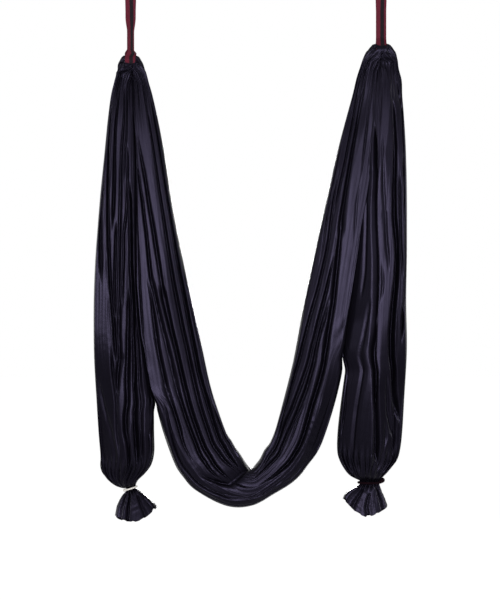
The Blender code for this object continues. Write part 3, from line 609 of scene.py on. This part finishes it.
def facets(chart, rows, shares, pressed, side, forward, skew):
    """Turn parts of the front to face a given way.

    Gives how much the wrap's depth changes, and how far each point lies inside a facet.
    """
    ahead = np.nonzero((TURNS >= FRONT_START) & (TURNS <= FRONT_END))[0]
    angle = TURNS[ahead] - FRONT_START
    across = -np.cos(angle)
    wanted = np.zeros((len(shares), len(ahead)))
    weight = np.zeros_like(wanted)
    for line in chart:
        line = np.array(line)
        start, end = line[0, 0], line[-1, 0]
        centre = bend(line[:, :2], shares)
        live = (step(shares, start - 0.05, start + 0.03)
                * step(-shares, -end - 0.05, -end + 0.03))
        reach = np.radians(np.interp(shares, line[:, 0], line[:, 2])) * (0.4 + 0.6 * live)
        near, far = (pressed_in(np.clip(centre + way * reach, 0.01, 3.13), pressed, side)
                     for way in (-1, 1))
        inward = np.minimum(angle - near[:, None], far[:, None] - angle)
        part = live[:, None] * step(inward, -0.05, 0.05)
        tilt = np.radians(np.interp(shares, line[:, 0], line[:, 3]))[:, None]
        wanted += part * np.tan(tilt)
        weight += part
    wanted /= np.maximum(weight, 1e-6)
    weight = np.minimum(weight, 1)

    # The section's own slope, the slope that is wanted, and the depth that adds up to it
    slim = slimmed(across, skew, forward)
    depth = np.sin(angle) ** FULLNESS * slim
    run = np.gradient(squared(across[None, :], pressed[:, None], side), axis=1)
    plain = np.clip(np.gradient(depth, axis=1) / np.maximum(run, 1e-4), -5, 5)
    shape = np.sign(np.cos(np.radians(rows[:, 2]))) * rows[:, 3] / rows[:, 4]
    more = np.cumsum(weight * (-wanted * shape[:, None] - plain) * run, axis=1)
    more -= more[:, np.argmin(np.abs(across - 0.30 * forward))][:, None]
    more = np.clip(more, -0.60, 0.22) * (1 - step(np.abs(across), 0.90, 0.995))
    more = np.maximum(more, np.minimum(0.08 - depth, 0))
    change, inside = np.zeros((2, len(shares), len(TURNS)))
    change[:, ahead] = more / slim
    inside[:, ahead] = weight
    return change, inside


def soften(values):
    """Even out each row over a few degrees."""
    kernel = np.hanning(15)[1:-1] / np.hanning(15).sum()
    wide = np.pad(values, ((0, 0), (6, 6)), mode="edge")
    return sum(k * wide[:, j:j + values.shape[1]] for j, k in enumerate(kernel))


def back_chart(seed, count, deep=0.26):
    """Long folds down the side that the front view doesn't show."""
    draw = np.random.RandomState(seed)
    chart = []
    gap = (348 - 192) / count
    for k in range(count):
        middle = 192 + (k + 0.5) * gap
        share = draw.uniform(-0.05, 0.12)
        line = []
        while share < 1.05:
            line.append((share, middle + draw.uniform(-0.42, 0.42) * gap))
            share += draw.uniform(0.10, 0.20)
        cut = draw.randint(0, 3)
        line = line[:len(line) - cut] if len(line) - cut > 3 else line
        depth = deep * draw.uniform(0.55, 1.1)
        chart.append((depth, draw.uniform(8, 13), draw.uniform(8, 13), line))
    return chart


def streaks(seed, shares, length, terms=16):
    """Fine wrinkles that run along the cloth and wander as they go."""
    draw = np.random.RandomState(seed)
    total = np.zeros((len(shares), len(TURNS)))
    for _ in range(terms):
        often = draw.randint(6, 21)
        drift, strength = np.zeros((2, len(shares)))
        for _ in range(4):
            rate = draw.uniform(1, 6) * length
            drift += draw.uniform(0.2, 0.8) * np.sin(rate * shares + draw.uniform(0, math.tau))
            strength += np.sin(draw.uniform(1, 5) * length * shares
                               + draw.uniform(0, math.tau))
        strength = np.clip(0.45 + 0.35 * strength, 0, 1.3)
        wave = np.sin(often * TURNS + 1.6 * drift[:, None] + draw.uniform(0, math.tau))
        total += strength[:, None] * (1 - np.abs(wave)) ** 2 * (20 / (often + 10))
    return total / terms


def crinkles(patches, seed, shares, length, radius):
    """Height of the short cross wrinkles in patches."""
    draw = np.random.RandomState(seed)
    total = np.zeros((len(shares), len(TURNS)))
    s, a = shares[:, None] * length, TURNS * radius
    for share, degrees, tall, wide, height in patches:
        off = around(TURNS, math.radians(degrees))
        mask = np.exp(-((shares[:, None] - share) / tall) ** 2
                      - (off / math.radians(wide)) ** 2)
        wave = np.zeros_like(total)
        for _ in range(5):
            long, tilt = draw.uniform(0.013, 0.024), draw.uniform(-0.5, 0.5)
            bow = draw.uniform(0.002, 0.005) * np.sin(a * draw.uniform(90, 200))
            wave += np.sin(math.tau / long * (s + tilt * a + bow) + draw.uniform(0, math.tau))
        total += height * mask * wave / 3
    return total


def gathers(seed):
    """Narrow folds of uneven width and depth that start where the cloth is drawn together."""
    draw = np.random.RandomState(seed)
    total = np.zeros(len(TURNS))
    spot = 0.0
    while spot < 348:
        wide = draw.uniform(5, 8)
        spot += wide + draw.uniform(2, 7)
        near = np.abs(around(TURNS, math.radians(spot))) / math.radians(wide)
        total = np.maximum(total, draw.uniform(0.12, 0.26) * np.clip(1 - near, 0, 1) ** 1.5)
    return total


def pleats(count, depth):
    """Even small pleats, alike from both sides of a section."""
    return depth * (0.5 - 0.5 * np.cos(count * (TURNS - math.pi / 2)))


def limit(dip, most=0.49):
    """Keep folds clear of the cloth inside the wrap."""
    return most * np.tanh(dip / most)


def sheet_section(dip, half, deep, radius, change=0.0, skew=0.0, forward=-1):
    """The sheet's line across each section, as shares of the half width and half depth.

    It starts at the free edge behind, goes once round as the wrap, passes under the free
    edge, and then lies to and fro inside.  Folds sink in square to the wrap's surface.
    """
    across = np.broadcast_to(-np.cos(TURNS), dip.shape)
    full = np.sign(np.sin(TURNS)) * np.abs(np.sin(TURNS)) ** FULLNESS + change
    deep = deep * slimmed(across, skew, forward)
    run, rise = (soften(np.gradient(part, axis=1)) for part in (across * half, full * deep))
    size = np.maximum(np.hypot(run, rise), 1e-9)
    past = np.clip((TURNS - (WRAP_START + math.tau - 0.16)) / 0.14, 0, 1)
    sunk = dip * radius + BELOW_EDGE * past
    across = across + rise / size * sunk / half
    full = full - run / size * sunk / deep
    kept = np.sqrt(np.maximum((CORE + 0.03) ** 2 - across ** 2, 0))
    full = np.where(np.sin(TURNS) > 0, np.maximum(full, kept), np.minimum(full, -kept))
    legs = []
    for k, up in enumerate(np.linspace(-0.93, 0.93, LEGS)):
        out = (-1) ** k * math.sqrt(1 - up * up)
        legs += [(-out * CORE, up * CORE), (out * CORE, up * CORE)]
    core = np.broadcast_to(np.array(legs), (len(dip), 2 * LEGS, 2))
    return np.concatenate([np.stack([across, full], axis=-1), core], axis=1)


def place(rows, section, pressed, side, lean, forward, skew):
    """Put section points into the world along their rows.

    Where a section is pressed against its neighbour, that side of it is squared up, and
    its front leans over towards that side.
    """
    turn = np.radians(rows[:, 2])[:, None]
    half, deep = rows[:, 3, None] / 2, rows[:, 4, None] / 2
    across, full = section[..., 0], section[..., 1]
    deep = deep * slimmed(across, skew, forward)
    across = squared(across, pressed[:, None], side)
    near = np.clip(across * side, 0, 1) * pressed[:, None]
    across = (across + near * lean * full / half) * half
    return np.stack([rows[:, 0, None] + np.cos(turn) * across, -full * deep,
                     rows[:, 1, None] + np.sin(turn) * across], axis=-1)


def cloth_uv(grid):
    """Distance over the cloth in each direction, in metres."""
    over = np.linalg.norm(np.diff(grid, axis=1), axis=2).mean(axis=0)
    down = np.linalg.norm(np.diff(grid, axis=0), axis=2)[:, ::9].mean(axis=1)
    u, v = (np.concatenate(([0], np.cumsum(gaps))) for gaps in (over, down))
    return np.stack(np.meshgrid(u, v), axis=-1)


def lay_cloth(name, marks, rows, length, pressed, side, forward, ends, gathered, near,
              even=1.0, slack=0.0, tuck=0.0):
    """The sheet's points along its rows, with a piece's folds, facets and wrinkles.

    side is the one that is pressed against a neighbour, and forward the one that stands
    forward.  ends says where the cloth is drawn together: how much it is at each mark,
    and its pleats there.  gathered and near say where gathers and more fine wrinkles
    start, even how uneven the section's depth may be, and slack how shallow folds are.
    """
    behind, drawn, fine, cross = SEEDS[name]
    radius = np.hypot(rows[:, 3, None] / 2 * np.cos(TURNS), rows[:, 4, None] / 2 * np.sin(TURNS))
    middle = np.mean(rows[:, 3:5]) / 2
    open_part = 1 - sum(weight for weight, _, _ in ends)[:, None]
    towards = around(TURNS, math.pi if side > 0 else 0.0)
    calm = open_part * (1 - pressed[:, None] * np.exp(-(towards / CALM_REACH) ** 4))

    dip = DEEPER * folds(FOLDS[name], marks, length, middle, pressed, side)
    dip *= 1 - np.reshape(slack, (-1, 1))
    dip += folds(back_chart(behind, 9), marks, length, middle)
    dip = (dip ** 3 + tuck ** 3) ** (1 / 3) * calm
    for weight, count, depth in ends:
        dip += weight[:, None] * pleats(count, depth)
    dip += gathered[:, None] * gathers(drawn) * calm
    skew = SKEW * open_part[:, 0] * even
    change, inside = facets(FACETS[name], rows, marks, pressed, side, forward, skew)
    dip *= 1 - FLATTER * inside
    dip += (calm * (1 - 0.7 * inside) * (FINE + FINE_NEAR * near[:, None])
            * streaks(fine, marks, length))
    # The sling's cross wrinkles run on to the edge that is pressed
    dip += ((open_part if name == "sling" else calm)
            * crinkles(PATCHES[name], cross, marks, length, middle) / radius)
    section = sheet_section(limit(dip), rows[:, 3:4] / 2, rows[:, 4:] / 2, radius, change,
                            skew, forward)
    return place(rows, section, pressed, side, -BORDER_LEAN, forward, skew)


def build_sling(material):
    """The cloth from one strap's loop through the seat to the other."""
    path = sling_path()
    length = along(path, np.array([0.0]))[1]
    into = 2 * LOOP_EXIT / length
    start = np.concatenate([np.linspace(-into, 0, 8), np.linspace(0.002, 0.030, 14),
                            np.linspace(0.0355, 0.40, 68)])
    marks = np.concatenate([start, np.linspace(0.402, 0.598, 96), 1 - start[::-1]])
    rows, length = along(path, marks)
    # Straight on through the loops at both ends
    rows[:, 0] += (marks - np.clip(marks, 0, 1)) * length
    low = np.argmin(rows[:, 1])
    pressed = np.concatenate([meet("left", rows[:low], -1, 1),
                              meet("right", rows[low:], -1, -1)])

    # The tuck: the near side sinks towards the line, the far side starts with a round edge
    degrees = np.degrees(TURNS) % 360
    off = (marks[:, None] - np.interp(degrees, *np.array(SLING_TUCK).T)) * length
    beyond = step(off, -0.005, 0.005)
    sunk = ((1 - beyond) * 0.38 * np.exp(np.minimum(off, 0) / 0.024)
            + beyond * 0.12 * np.exp(-np.maximum(off, 0) / 0.008))
    tuck = sunk * step(degrees, 58, 76) * step(-degrees, -215, -180)
    seat = marks - 0.5
    grid = lay_cloth("sling", marks, rows, length, pressed, -1, -1,
                     [(at_ends(marks, (0.0, 0.025)), 12, 0.09)],
                     at_ends(marks, (0.015, 0.085)), at_ends(marks, (0.02, 0.075)),
                     1 - 0.5 * np.exp(-(seat / 0.10) ** 2),
                     0.36 * np.exp(-(seat / 0.14) ** 4), tuck)
    for side, near, sense in (("left", (marks >= 0) & (marks < 0.05), 1),
                              ("right", (marks <= 1) & (marks > 0.95), -1)):
        grid[near] = close_up(side, grid[near], sense)
    mesh = grid_mesh("sling_cloth", grid, cloth_uv(grid))
    made = put("sling_cloth", mesh, material, "hammock")
    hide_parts("fabric_sling", "fabric_saddle_left", "fabric_saddle_right")
    run = length + 4 * LOOP_EXIT
    return run


def build_tail(side, material):
    """The cloth's end: from the strap's loop down to the tie, and the tuft below it."""
    sign = SIDES[side]
    hitch_x, hitch_z = HITCH[side]
    marks = np.concatenate([np.linspace(0, 0.060, 24), np.linspace(0.067, 0.93, 116),
                            np.linspace(0.9345, 1.0, 18)])
    rows, length = along(tail_path(side), marks)
    pressed = meet(side, rows, -sign, sign)
    body = lay_cloth(side, marks, rows, length, pressed, -sign, sign,
                     [(1 - step(marks, 0.0, 0.045), 12, 0.09),
                      (step(marks, 0.955, 1.0), 16, 0.16)],
                     at_ends(marks, (0.03, 0.15), (0.025, 0.095)), 1 - step(marks, 0.04, 0.16))
    near = marks < 0.10
    body[near] = close_up(side, body[near], sign)

    # Below the tie the section opens into a fan, cut off in an uneven hem
    shares = np.concatenate(([0.0], np.linspace(0.03, 1, 26)))
    down = shares[:, None]
    opening = step(down, 0.0, 0.22)
    dip = opening * sum(folds(chart, shares, 0.08, 0.03, fade=0.0001)
                        for chart in (TUFT_FOLDS[side], back_chart(81 + sign, 7, 0.24)))
    dip += (1 - opening) * pleats(16, 0.16)
    dip += opening * 0.05 * streaks(91 + sign, shares, 0.6)
    dip += opening * crinkles(PATCHES["tuft"], 97 + sign, shares, 0.09,
                              TUFT_RADIUS) / TUFT_RADIUS
    low, high = (np.interp(down, *np.array(table).T) for table in TUFT_SIDES[side])
    start = NECK_DEPTH[side] / 2
    deep = start + (TUFT_DEPTH[side] - start) * down ** 0.9
    section = sheet_section(limit(dip, 0.40), (high - low) / 2, deep, TUFT_RADIUS)
    p, q = section[..., 0], section[..., 1]
    hem = np.array(TUFT_HEM[side])
    draw = np.random.RandomState(7 + sign)
    columns = np.arange(section.shape[1])
    ragged = sum(draw.uniform(0.2, 1.0) * np.sin(columns * draw.uniform(0.05, 0.35)
                                                 + draw.uniform(0, math.tau))
                 for _ in range(9))
    neck = NECK[side]
    drop = np.interp(p, *hem.T) - np.maximum(0, 0.0018 * ragged) * down ** 5 - neck
    fan = np.stack([hitch_x + low + (p + 1) / 2 * (high - low), -q * deep,
                    hitch_z - TAIL_DROP[side] - neck - down * drop], axis=-1)
    grid = slant(side, np.concatenate([body, fan], axis=0))
    mesh = grid_mesh(f"tail_cloth_{side}", grid, cloth_uv(grid))
    made = put(f"tail_cloth_{side}", mesh, material)
    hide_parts(f"fabric_tail_{side}", f"tail_tuft_{side}")
    run = length + neck + float(hem[:, 1].mean())
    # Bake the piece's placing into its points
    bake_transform(made)
    return run


def neck_level(side):
    """Height of the middle of a neck."""
    return HITCH[side][1] - TAIL_DROP[side] - NECK[side] / 2


def slant(side, grid):
    """Lay the neck aslant as the tie has pulled it."""
    x, y, z = (grid[..., k] for k in range(3))
    across = x - HITCH[side][0] - SIDES[side] * NECK_OUT[side]
    near = np.exp(-((z - neck_level(side)) / 0.014) ** 2)
    z = z + NECK_SLANT[side] * near * np.clip(across, -0.020, 0.020)
    return np.stack([x, y, z], axis=-1)


def arc(centre, radius, start, end, steps):
    """Points on an arc, angles in degrees, both ends included."""
    turn = np.radians(np.linspace(start, end, steps + 1))
    return np.array(centre) + radius * np.stack([np.cos(turn), np.sin(turn)], axis=1)


def tangent_angle(point_y, point_z, radius):
    """Angle from the circle's centre to where a line from the point touches it."""
    reach = math.hypot(point_y, point_z)
    return math.degrees(math.atan2(point_z, point_y) + math.acos(radius / reach))


def distances(points):
    """How far along a line of points each of them lies."""
    return np.concatenate(([0], np.cumsum(np.linalg.norm(np.diff(points, axis=0), axis=1))))


def ring_directions(points):
    """The direction of a closed line at each of its points."""
    way = np.roll(points, -1, axis=0) - np.roll(points, 1, axis=0)
    return way / np.linalg.norm(way, axis=1)[:, None]


def build_strap(side, material):
    """A webbing strap: one closed band with an eye at the top and a loop below."""
    drop = STRAP_DROP[side]
    half, inside = WEB_WIDTH / 2, EYE_WIDTH / 2
    eye = BAR_RADIUS + inside - math.sqrt(inside ** 2 - half ** 2) + GAP + WEB_THICKNESS / 2
    loop = BUNDLE / 2 + GAP + WEB_THICKNESS / 2
    eye_neck = -(eye + WEB_THICKNESS / 2) - EYE_TAPER
    loop_neck = -drop + loop + WEB_THICKNESS / 2 + LOOP_TAPER
    flat = WEB_THICKNESS / 2 + 0.00005
    low_turn = tangent_angle(flat, -(loop_neck + drop), loop)
    top_turn = tangent_angle(flat, eye_neck, eye)
    side_line = np.concatenate([arc((0, -drop), loop, -90, -low_turn, 24),
                                [(flat, loop_neck)], [(flat, eye_neck)],
                                arc((0, 0), eye, top_turn, 90, 20)])
    line = np.concatenate([side_line, (side_line * [-1, 1])[::-1][1:-1], side_line[:1]])
    run = distances(line)
    at = np.linspace(0, run[-1], int(run[-1] / WEB_STEP))
    line = np.stack([np.interp(at, run, part) for part in line.T], axis=1)[:-1]
    way = ring_directions(line)

    # The band's section: two faces with rounded edges, a little inside the solid's
    around_it = np.linspace(0, math.tau, 36, endpoint=False)
    shape_x, shape_y = (np.sign(part) * np.abs(part) ** 0.55
                        for part in (np.cos(around_it), np.sin(around_it)))
    off = shape_y * (WEB_THICKNESS - WEB_INSET) / 2
    y = line[:, 0, None] + way[:, 1, None] * off
    z = line[:, 1, None] - way[:, 0, None] * off
    x = np.broadcast_to(shape_x * (half - WEB_INSET), y.shape)
    share = np.clip((eye_neck - z) / (eye_neck - loop_neck), 0, 1)
    turn = (np.radians(STRAP_TWIST[side]) * step(share, 0.0, 0.55)
            * step(z, -drop + 0.012, loop_neck + 0.002))
    grid = np.stack([HITCH[side][0] + x * np.cos(turn) - y * np.sin(turn),
                     x * np.sin(turn) + y * np.cos(turn), z + HANG_BAR], axis=-1)
    uv = np.stack(np.broadcast_arrays(shape_x / 2 + 0.5, distances(line)[:, None]), axis=-1)
    made = put(f"webbing_{side}", grid_mesh(f"webbing_{side}", grid, uv, closed=True),
               material, "hammock")
    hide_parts(f"hanging_strap_{side}")


def build_tie(side, material):
    """The cord round a neck: one ring with its knot at the outer side."""
    sign = SIDES[side]
    cord = TIE_CORD[side] / 2
    centre = np.array([HITCH[side][0] + sign * NECK_OUT[side], 0, neck_level(side)])
    reach_x = NECK_WIDTH[side] / 2 + GAP + cord
    reach_y = NECK_DEPTH[side] / 2 + GAP + cord
    turn = np.linspace(0, math.tau, 96, endpoint=False)
    out = np.stack([sign * np.cos(turn), -np.sin(turn), 0 * turn], axis=1)
    swell = np.maximum(0, np.cos(turn)) ** 12
    radius = (cord + (KNOT[side] / 2 - cord) * swell)[:, None]
    ring = centre + out * (reach_x, reach_y, 0) + (radius - cord) * out
    ring[:, 2] += KNOT_UP[side] * swell

    # A tube round the ring
    way = ring_directions(ring)
    up = np.array([0.0, 0.3, 1.0])
    first = up - way * (way @ up)[:, None]
    first /= np.linalg.norm(first, axis=1)[:, None]
    second = np.cross(way, first)
    turn = np.linspace(0, math.tau, 16, endpoint=False)[None, :, None]
    tube = ring[:, None] + radius[:, None] * (np.cos(turn) * first[:, None]
                                              + np.sin(turn) * second[:, None])
    mesh = grid_mesh(f"tie_cord_{side}", slant(side, tube), None, closed=True)
    made = put(f"tie_cord_{side}", mesh, material, f"tail_{side}")
    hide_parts(f"tail_tie_{side}")


class Nodes:
    """Short ways to build the nodes of a material or world."""

    def __init__(self, owner, bare=False):
        owner.use_nodes = True
        self.owner, self.tree = owner, owner.node_tree
        if bare:
            self.tree.nodes.clear()

    def fill(self, socket, value):
        """Link an output to a socket, or give the socket a plain value."""
        if isinstance(value, bpy.types.NodeSocket):
            self.tree.links.new(value, socket)
        else:
            socket.default_value = (*value, 1) if socket.type == "RGBA" else value

    def add(self, kind, inputs, out=0, **settings):
        """A node with its inputs and settings; gives one of its outputs, if it has any."""
        made = self.tree.nodes.new("ShaderNode" + kind)
        for key, value in settings.items():
            setattr(made, key, value)
        for key, value in inputs.items():
            self.fill(made.inputs[key], value)
        return made.outputs[out] if len(made.outputs) else None

    def coords(self, kind):
        return self.add("TexCoord", {}, kind)

    def stretch(self, coords, *scale):
        return self.add("Mapping", {"Vector": coords, "Scale": scale})

    def noise(self, coords, scale, detail, roughness):
        return self.add("TexNoise", {"Vector": coords, "Scale": scale, "Detail": detail,
                                     "Roughness": roughness})

    def wave(self, coords, distortion, scale=1.0, direction="X"):
        return self.add("TexWave", {"Vector": coords, "Scale": scale,
                                    "Distortion": distortion}, "Fac",
                        bands_direction=direction)

    def scaled(self, factor, low, high):
        return self.add("MapRange", {"Value": factor, "To Min": low, "To Max": high})

    def math(self, operation, *values):
        return self.add("Math", dict(enumerate(values)), operation=operation)

    def mix(self, factor, a, b):
        return self.add("Mix", {0: factor, 6: a, 7: b}, 2, data_type="RGBA")

    def bumps(self, *layers):
        """Bumps over each other, each with its height, distance and strength."""
        below = {}
        for height, distance, strength in layers:
            normal = self.add("Bump", {"Height": height, "Distance": distance,
                                       "Strength": strength, **below})
            below = {"Normal": normal}
        return normal

    def surface(self, **values):
        """Fill the shader's sockets, and give the material."""
        for key, value in values.items():
            self.fill(self.tree.nodes["Principled BSDF"].inputs[key.replace("_", " ")], value)
        return self.owner


def cloth_material():
    """Dark satin nylon tricot."""
    n = Nodes(bpy.data.materials.new("satin_nylon"))
    uv = n.coords("UV")
    long_streaks = n.noise(n.stretch(uv, 190, 5, 1), 1.0, 3, 0.6)
    clouds = n.noise(n.coords("Object"), 16, 3, 0.5)
    tone = n.mix(clouds, (0.0008, 0.0007, 0.0011), (0.0014, 0.0012, 0.0021))
    tone = n.mix(n.scaled(long_streaks, 0.0, 0.5), tone, (0.0023, 0.0019, 0.0035))
    knit = n.wave(n.stretch(uv, 300, 210, 1), 0.6)
    crease = n.noise(n.stretch(uv, 55, 170, 1), 1.0, 4, 0.6)
    return n.surface(
        Base_Color=tone, Roughness=n.scaled(clouds, 0.31, 0.37),
        Normal=n.bumps((knit, 0.00003, 0.5), (long_streaks, 0.0003, 0.4),
                       (crease, 0.0003, 0.4)),
        Specular_IOR_Level=0.093, Specular_Tint=(0.66, 0.58, 1.0))


def webbing_material():
    """Black polyester webbing with dark red edges, woven in fine ribs."""
    n = Nodes(bpy.data.materials.new("woven_webbing"))
    uv = n.coords("UV")
    away = n.math("ABSOLUTE", n.math("SUBTRACT", n.add("SeparateXYZ", {0: uv}, "X"), 0.60))
    fleck = n.noise(n.stretch(uv, 900, 900, 1), 1.0, 2, 0.6)
    black = n.mix(fleck, (0.004, 0.003, 0.004), (0.012, 0.008, 0.011))
    red = n.mix(fleck, (0.044, 0.0045, 0.010), (0.105, 0.014, 0.026))
    rib = n.wave(n.stretch(uv, 1, 165, 1), 0.3, direction="Y")
    warp = n.wave(n.stretch(uv, 6.5, 1, 1), 0.2)
    return n.surface(
        Base_Color=n.mix(n.math("GREATER_THAN", away, 0.18), black, red),
        Roughness=n.scaled(fleck, 0.6, 0.8),
        Normal=n.bumps((rib, 0.0003, 0.8), (warp, 0.0002, 0.5)),
        Sheen_Weight=0.01, Specular_IOR_Level=0.06)


def cord_material(name, low, high, gloss):
    """Braided cord."""
    n = Nodes(bpy.data.materials.new(name))
    space = n.coords("Object")
    strands = n.wave(space, 1.2, 240.0, "DIAGONAL")
    fleck = n.noise(space, 700, 3, 0.6)
    return n.surface(Base_Color=n.mix(fleck, low, high), Roughness=n.scaled(fleck, 0.65, 0.85),
                     Normal=n.bumps((strands, 0.0003, 0.9)), Sheen_Weight=gloss / 6,
                     Specular_IOR_Level=gloss)


def metal_material(name, low, high, rough, metallic=1.0):
    """Worked metal with fine lines and faint wear."""
    n = Nodes(bpy.data.materials.new(name))
    space = n.coords("Object")
    brushed = n.noise(n.stretch(space, 40, 40, 900), 1.0, 3, 0.6)
    worn = n.noise(space, 90, 4, 0.6)
    return n.surface(Base_Color=n.mix(worn, low, high), Metallic=metallic,
                     Roughness=n.scaled(worn, rough - 0.06, rough + 0.10),
                     Normal=n.bumps((brushed, 0.00006, 0.4)))


def dress(material, *names):
    """Give carried-over solids their finish."""
    for name in names:
        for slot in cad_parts[name].material_slots:
            slot.material = material


# The view: its middle, the distance of the camera, metres to a pixel and pixels in height
CENTRE_X, CENTRE_Z = 0.3184, -0.8961
AWAY = 4.5
PIXEL = 0.0026667
HEIGHT = 600
FLOOR_Z = -2.02


def build_stage():
    """Pale floor, white surroundings, camera and soft lamps."""
    scene = bpy.context.scene
    scene.view_settings.view_transform = "Standard"

    bpy.ops.mesh.primitive_plane_add(size=40, location=(CENTRE_X, 0, FLOOR_Z))
    floor = bpy.context.object
    floor.name = "floor"
    n = Nodes(bpy.data.materials.new("pale_floor"), bare=True)
    matt = n.add("BsdfDiffuse", {"Color": (0.90, 0.90, 0.90)})
    glow = n.add("Emission", {"Strength": 1.04})
    seen = n.math("MULTIPLY", n.add("LightPath", {}, "Is Camera Ray"), 0.96)
    n.add("OutputMaterial", {0: n.add("MixShader", {0: seen, 1: matt, 2: glow})})
    floor.data.materials.append(n.owner)

    scene.world = bpy.data.worlds.new("studio")
    n = Nodes(scene.world, bare=True)
    soft = n.add("Background", {"Color": (0.90, 0.93, 1.0), "Strength": 0.18})
    white = n.add("Background", {"Color": (1, 1, 1)})
    seen = n.add("LightPath", {}, "Is Camera Ray")
    for name in ("Is Glossy Ray", "Is Transmission Ray"):
        seen = n.math("MAXIMUM", seen, n.add("LightPath", {}, name))
    n.add("OutputWorld", {0: n.add("MixShader", {0: seen, 1: soft, 2: white})})

    camera = bpy.data.objects.new("camera", bpy.data.cameras.new("camera"))
    camera.data.lens = 36 * AWAY / (HEIGHT * PIXEL)
    camera.location = (CENTRE_X, -AWAY, CENTRE_Z)
    camera.rotation_euler = (math.radians(90), 0, 0)
    scene.collection.objects.link(camera)
    scene.camera = camera

    for name, spot, size, power in (
            ("key", (0.25, -4.2, -0.46), (1.3, 0.55), 183),
            ("fill", (2.6, -3.2, 0.2), (0.9, 1.2), 20),
            ("side", (-2.2, -2.6, 0.4), (0.9, 1.2), 20),
            ("back", (0.4, 4.2, -0.40), (1.5, 0.8), 173),
            ("far right", (4.5, 0.3, -0.40), (0.9, 0.9), 60),
            ("far left", (-3.9, 0.3, -0.40), (0.9, 0.9), 60)):
        lamp = bpy.data.lights.new(name, "AREA")
        lamp.shape = "RECTANGLE"
        lamp.size, lamp.size_y = size
        lamp.energy = power
        made = bpy.data.objects.new(name, lamp)
        made.location = spot
        scene.collection.objects.link(made)
        aim = Vector((CENTRE_X, 0, CENTRE_Z)) - Vector(spot)
        made.rotation_euler = aim.to_track_quat("-Z", "Y").to_euler()


build_stage()
cloth = cloth_material()
webbing = webbing_material()
cords = {
    "left": cord_material("pale_cord_fibre", (0.42, 0.40, 0.37), (0.62, 0.60, 0.56), 0.06),
    "right": cord_material("dark_red_fibre", (0.002, 0.0006, 0.0013),
                           (0.006, 0.0014, 0.0030), 0.02),
}
alloy = metal_material("alloy_bar", (0.24, 0.25, 0.265), (0.33, 0.34, 0.36), 0.44)
gate_alloy = metal_material("alloy_gate", (0.28, 0.29, 0.305), (0.38, 0.39, 0.41), 0.42)
black_alloy = metal_material("anodised_sleeve", (0.020, 0.020, 0.023), (0.045, 0.045, 0.05),
                             0.38, 0.85)
steel = metal_material("bright_steel", (0.36, 0.36, 0.37), (0.46, 0.46, 0.47), 0.36)

used = build_sling(cloth)
for side_name in SIDES:
    used += build_tail(side_name, cloth)
    build_strap(side_name, webbing)
    build_tie(side_name, cords[side_name])
    dress(alloy, f"carabiner_frame_{side_name}")
    dress(gate_alloy, f"carabiner_gate_{side_name}")
    dress(black_alloy, f"lock_sleeve_{side_name}")
    dress(steel, f"gate_pivot_pin_{side_name}", f"gate_latch_pin_{side_name}",
          f"gate_plunger_{side_name}", f"gate_spring_{side_name}")
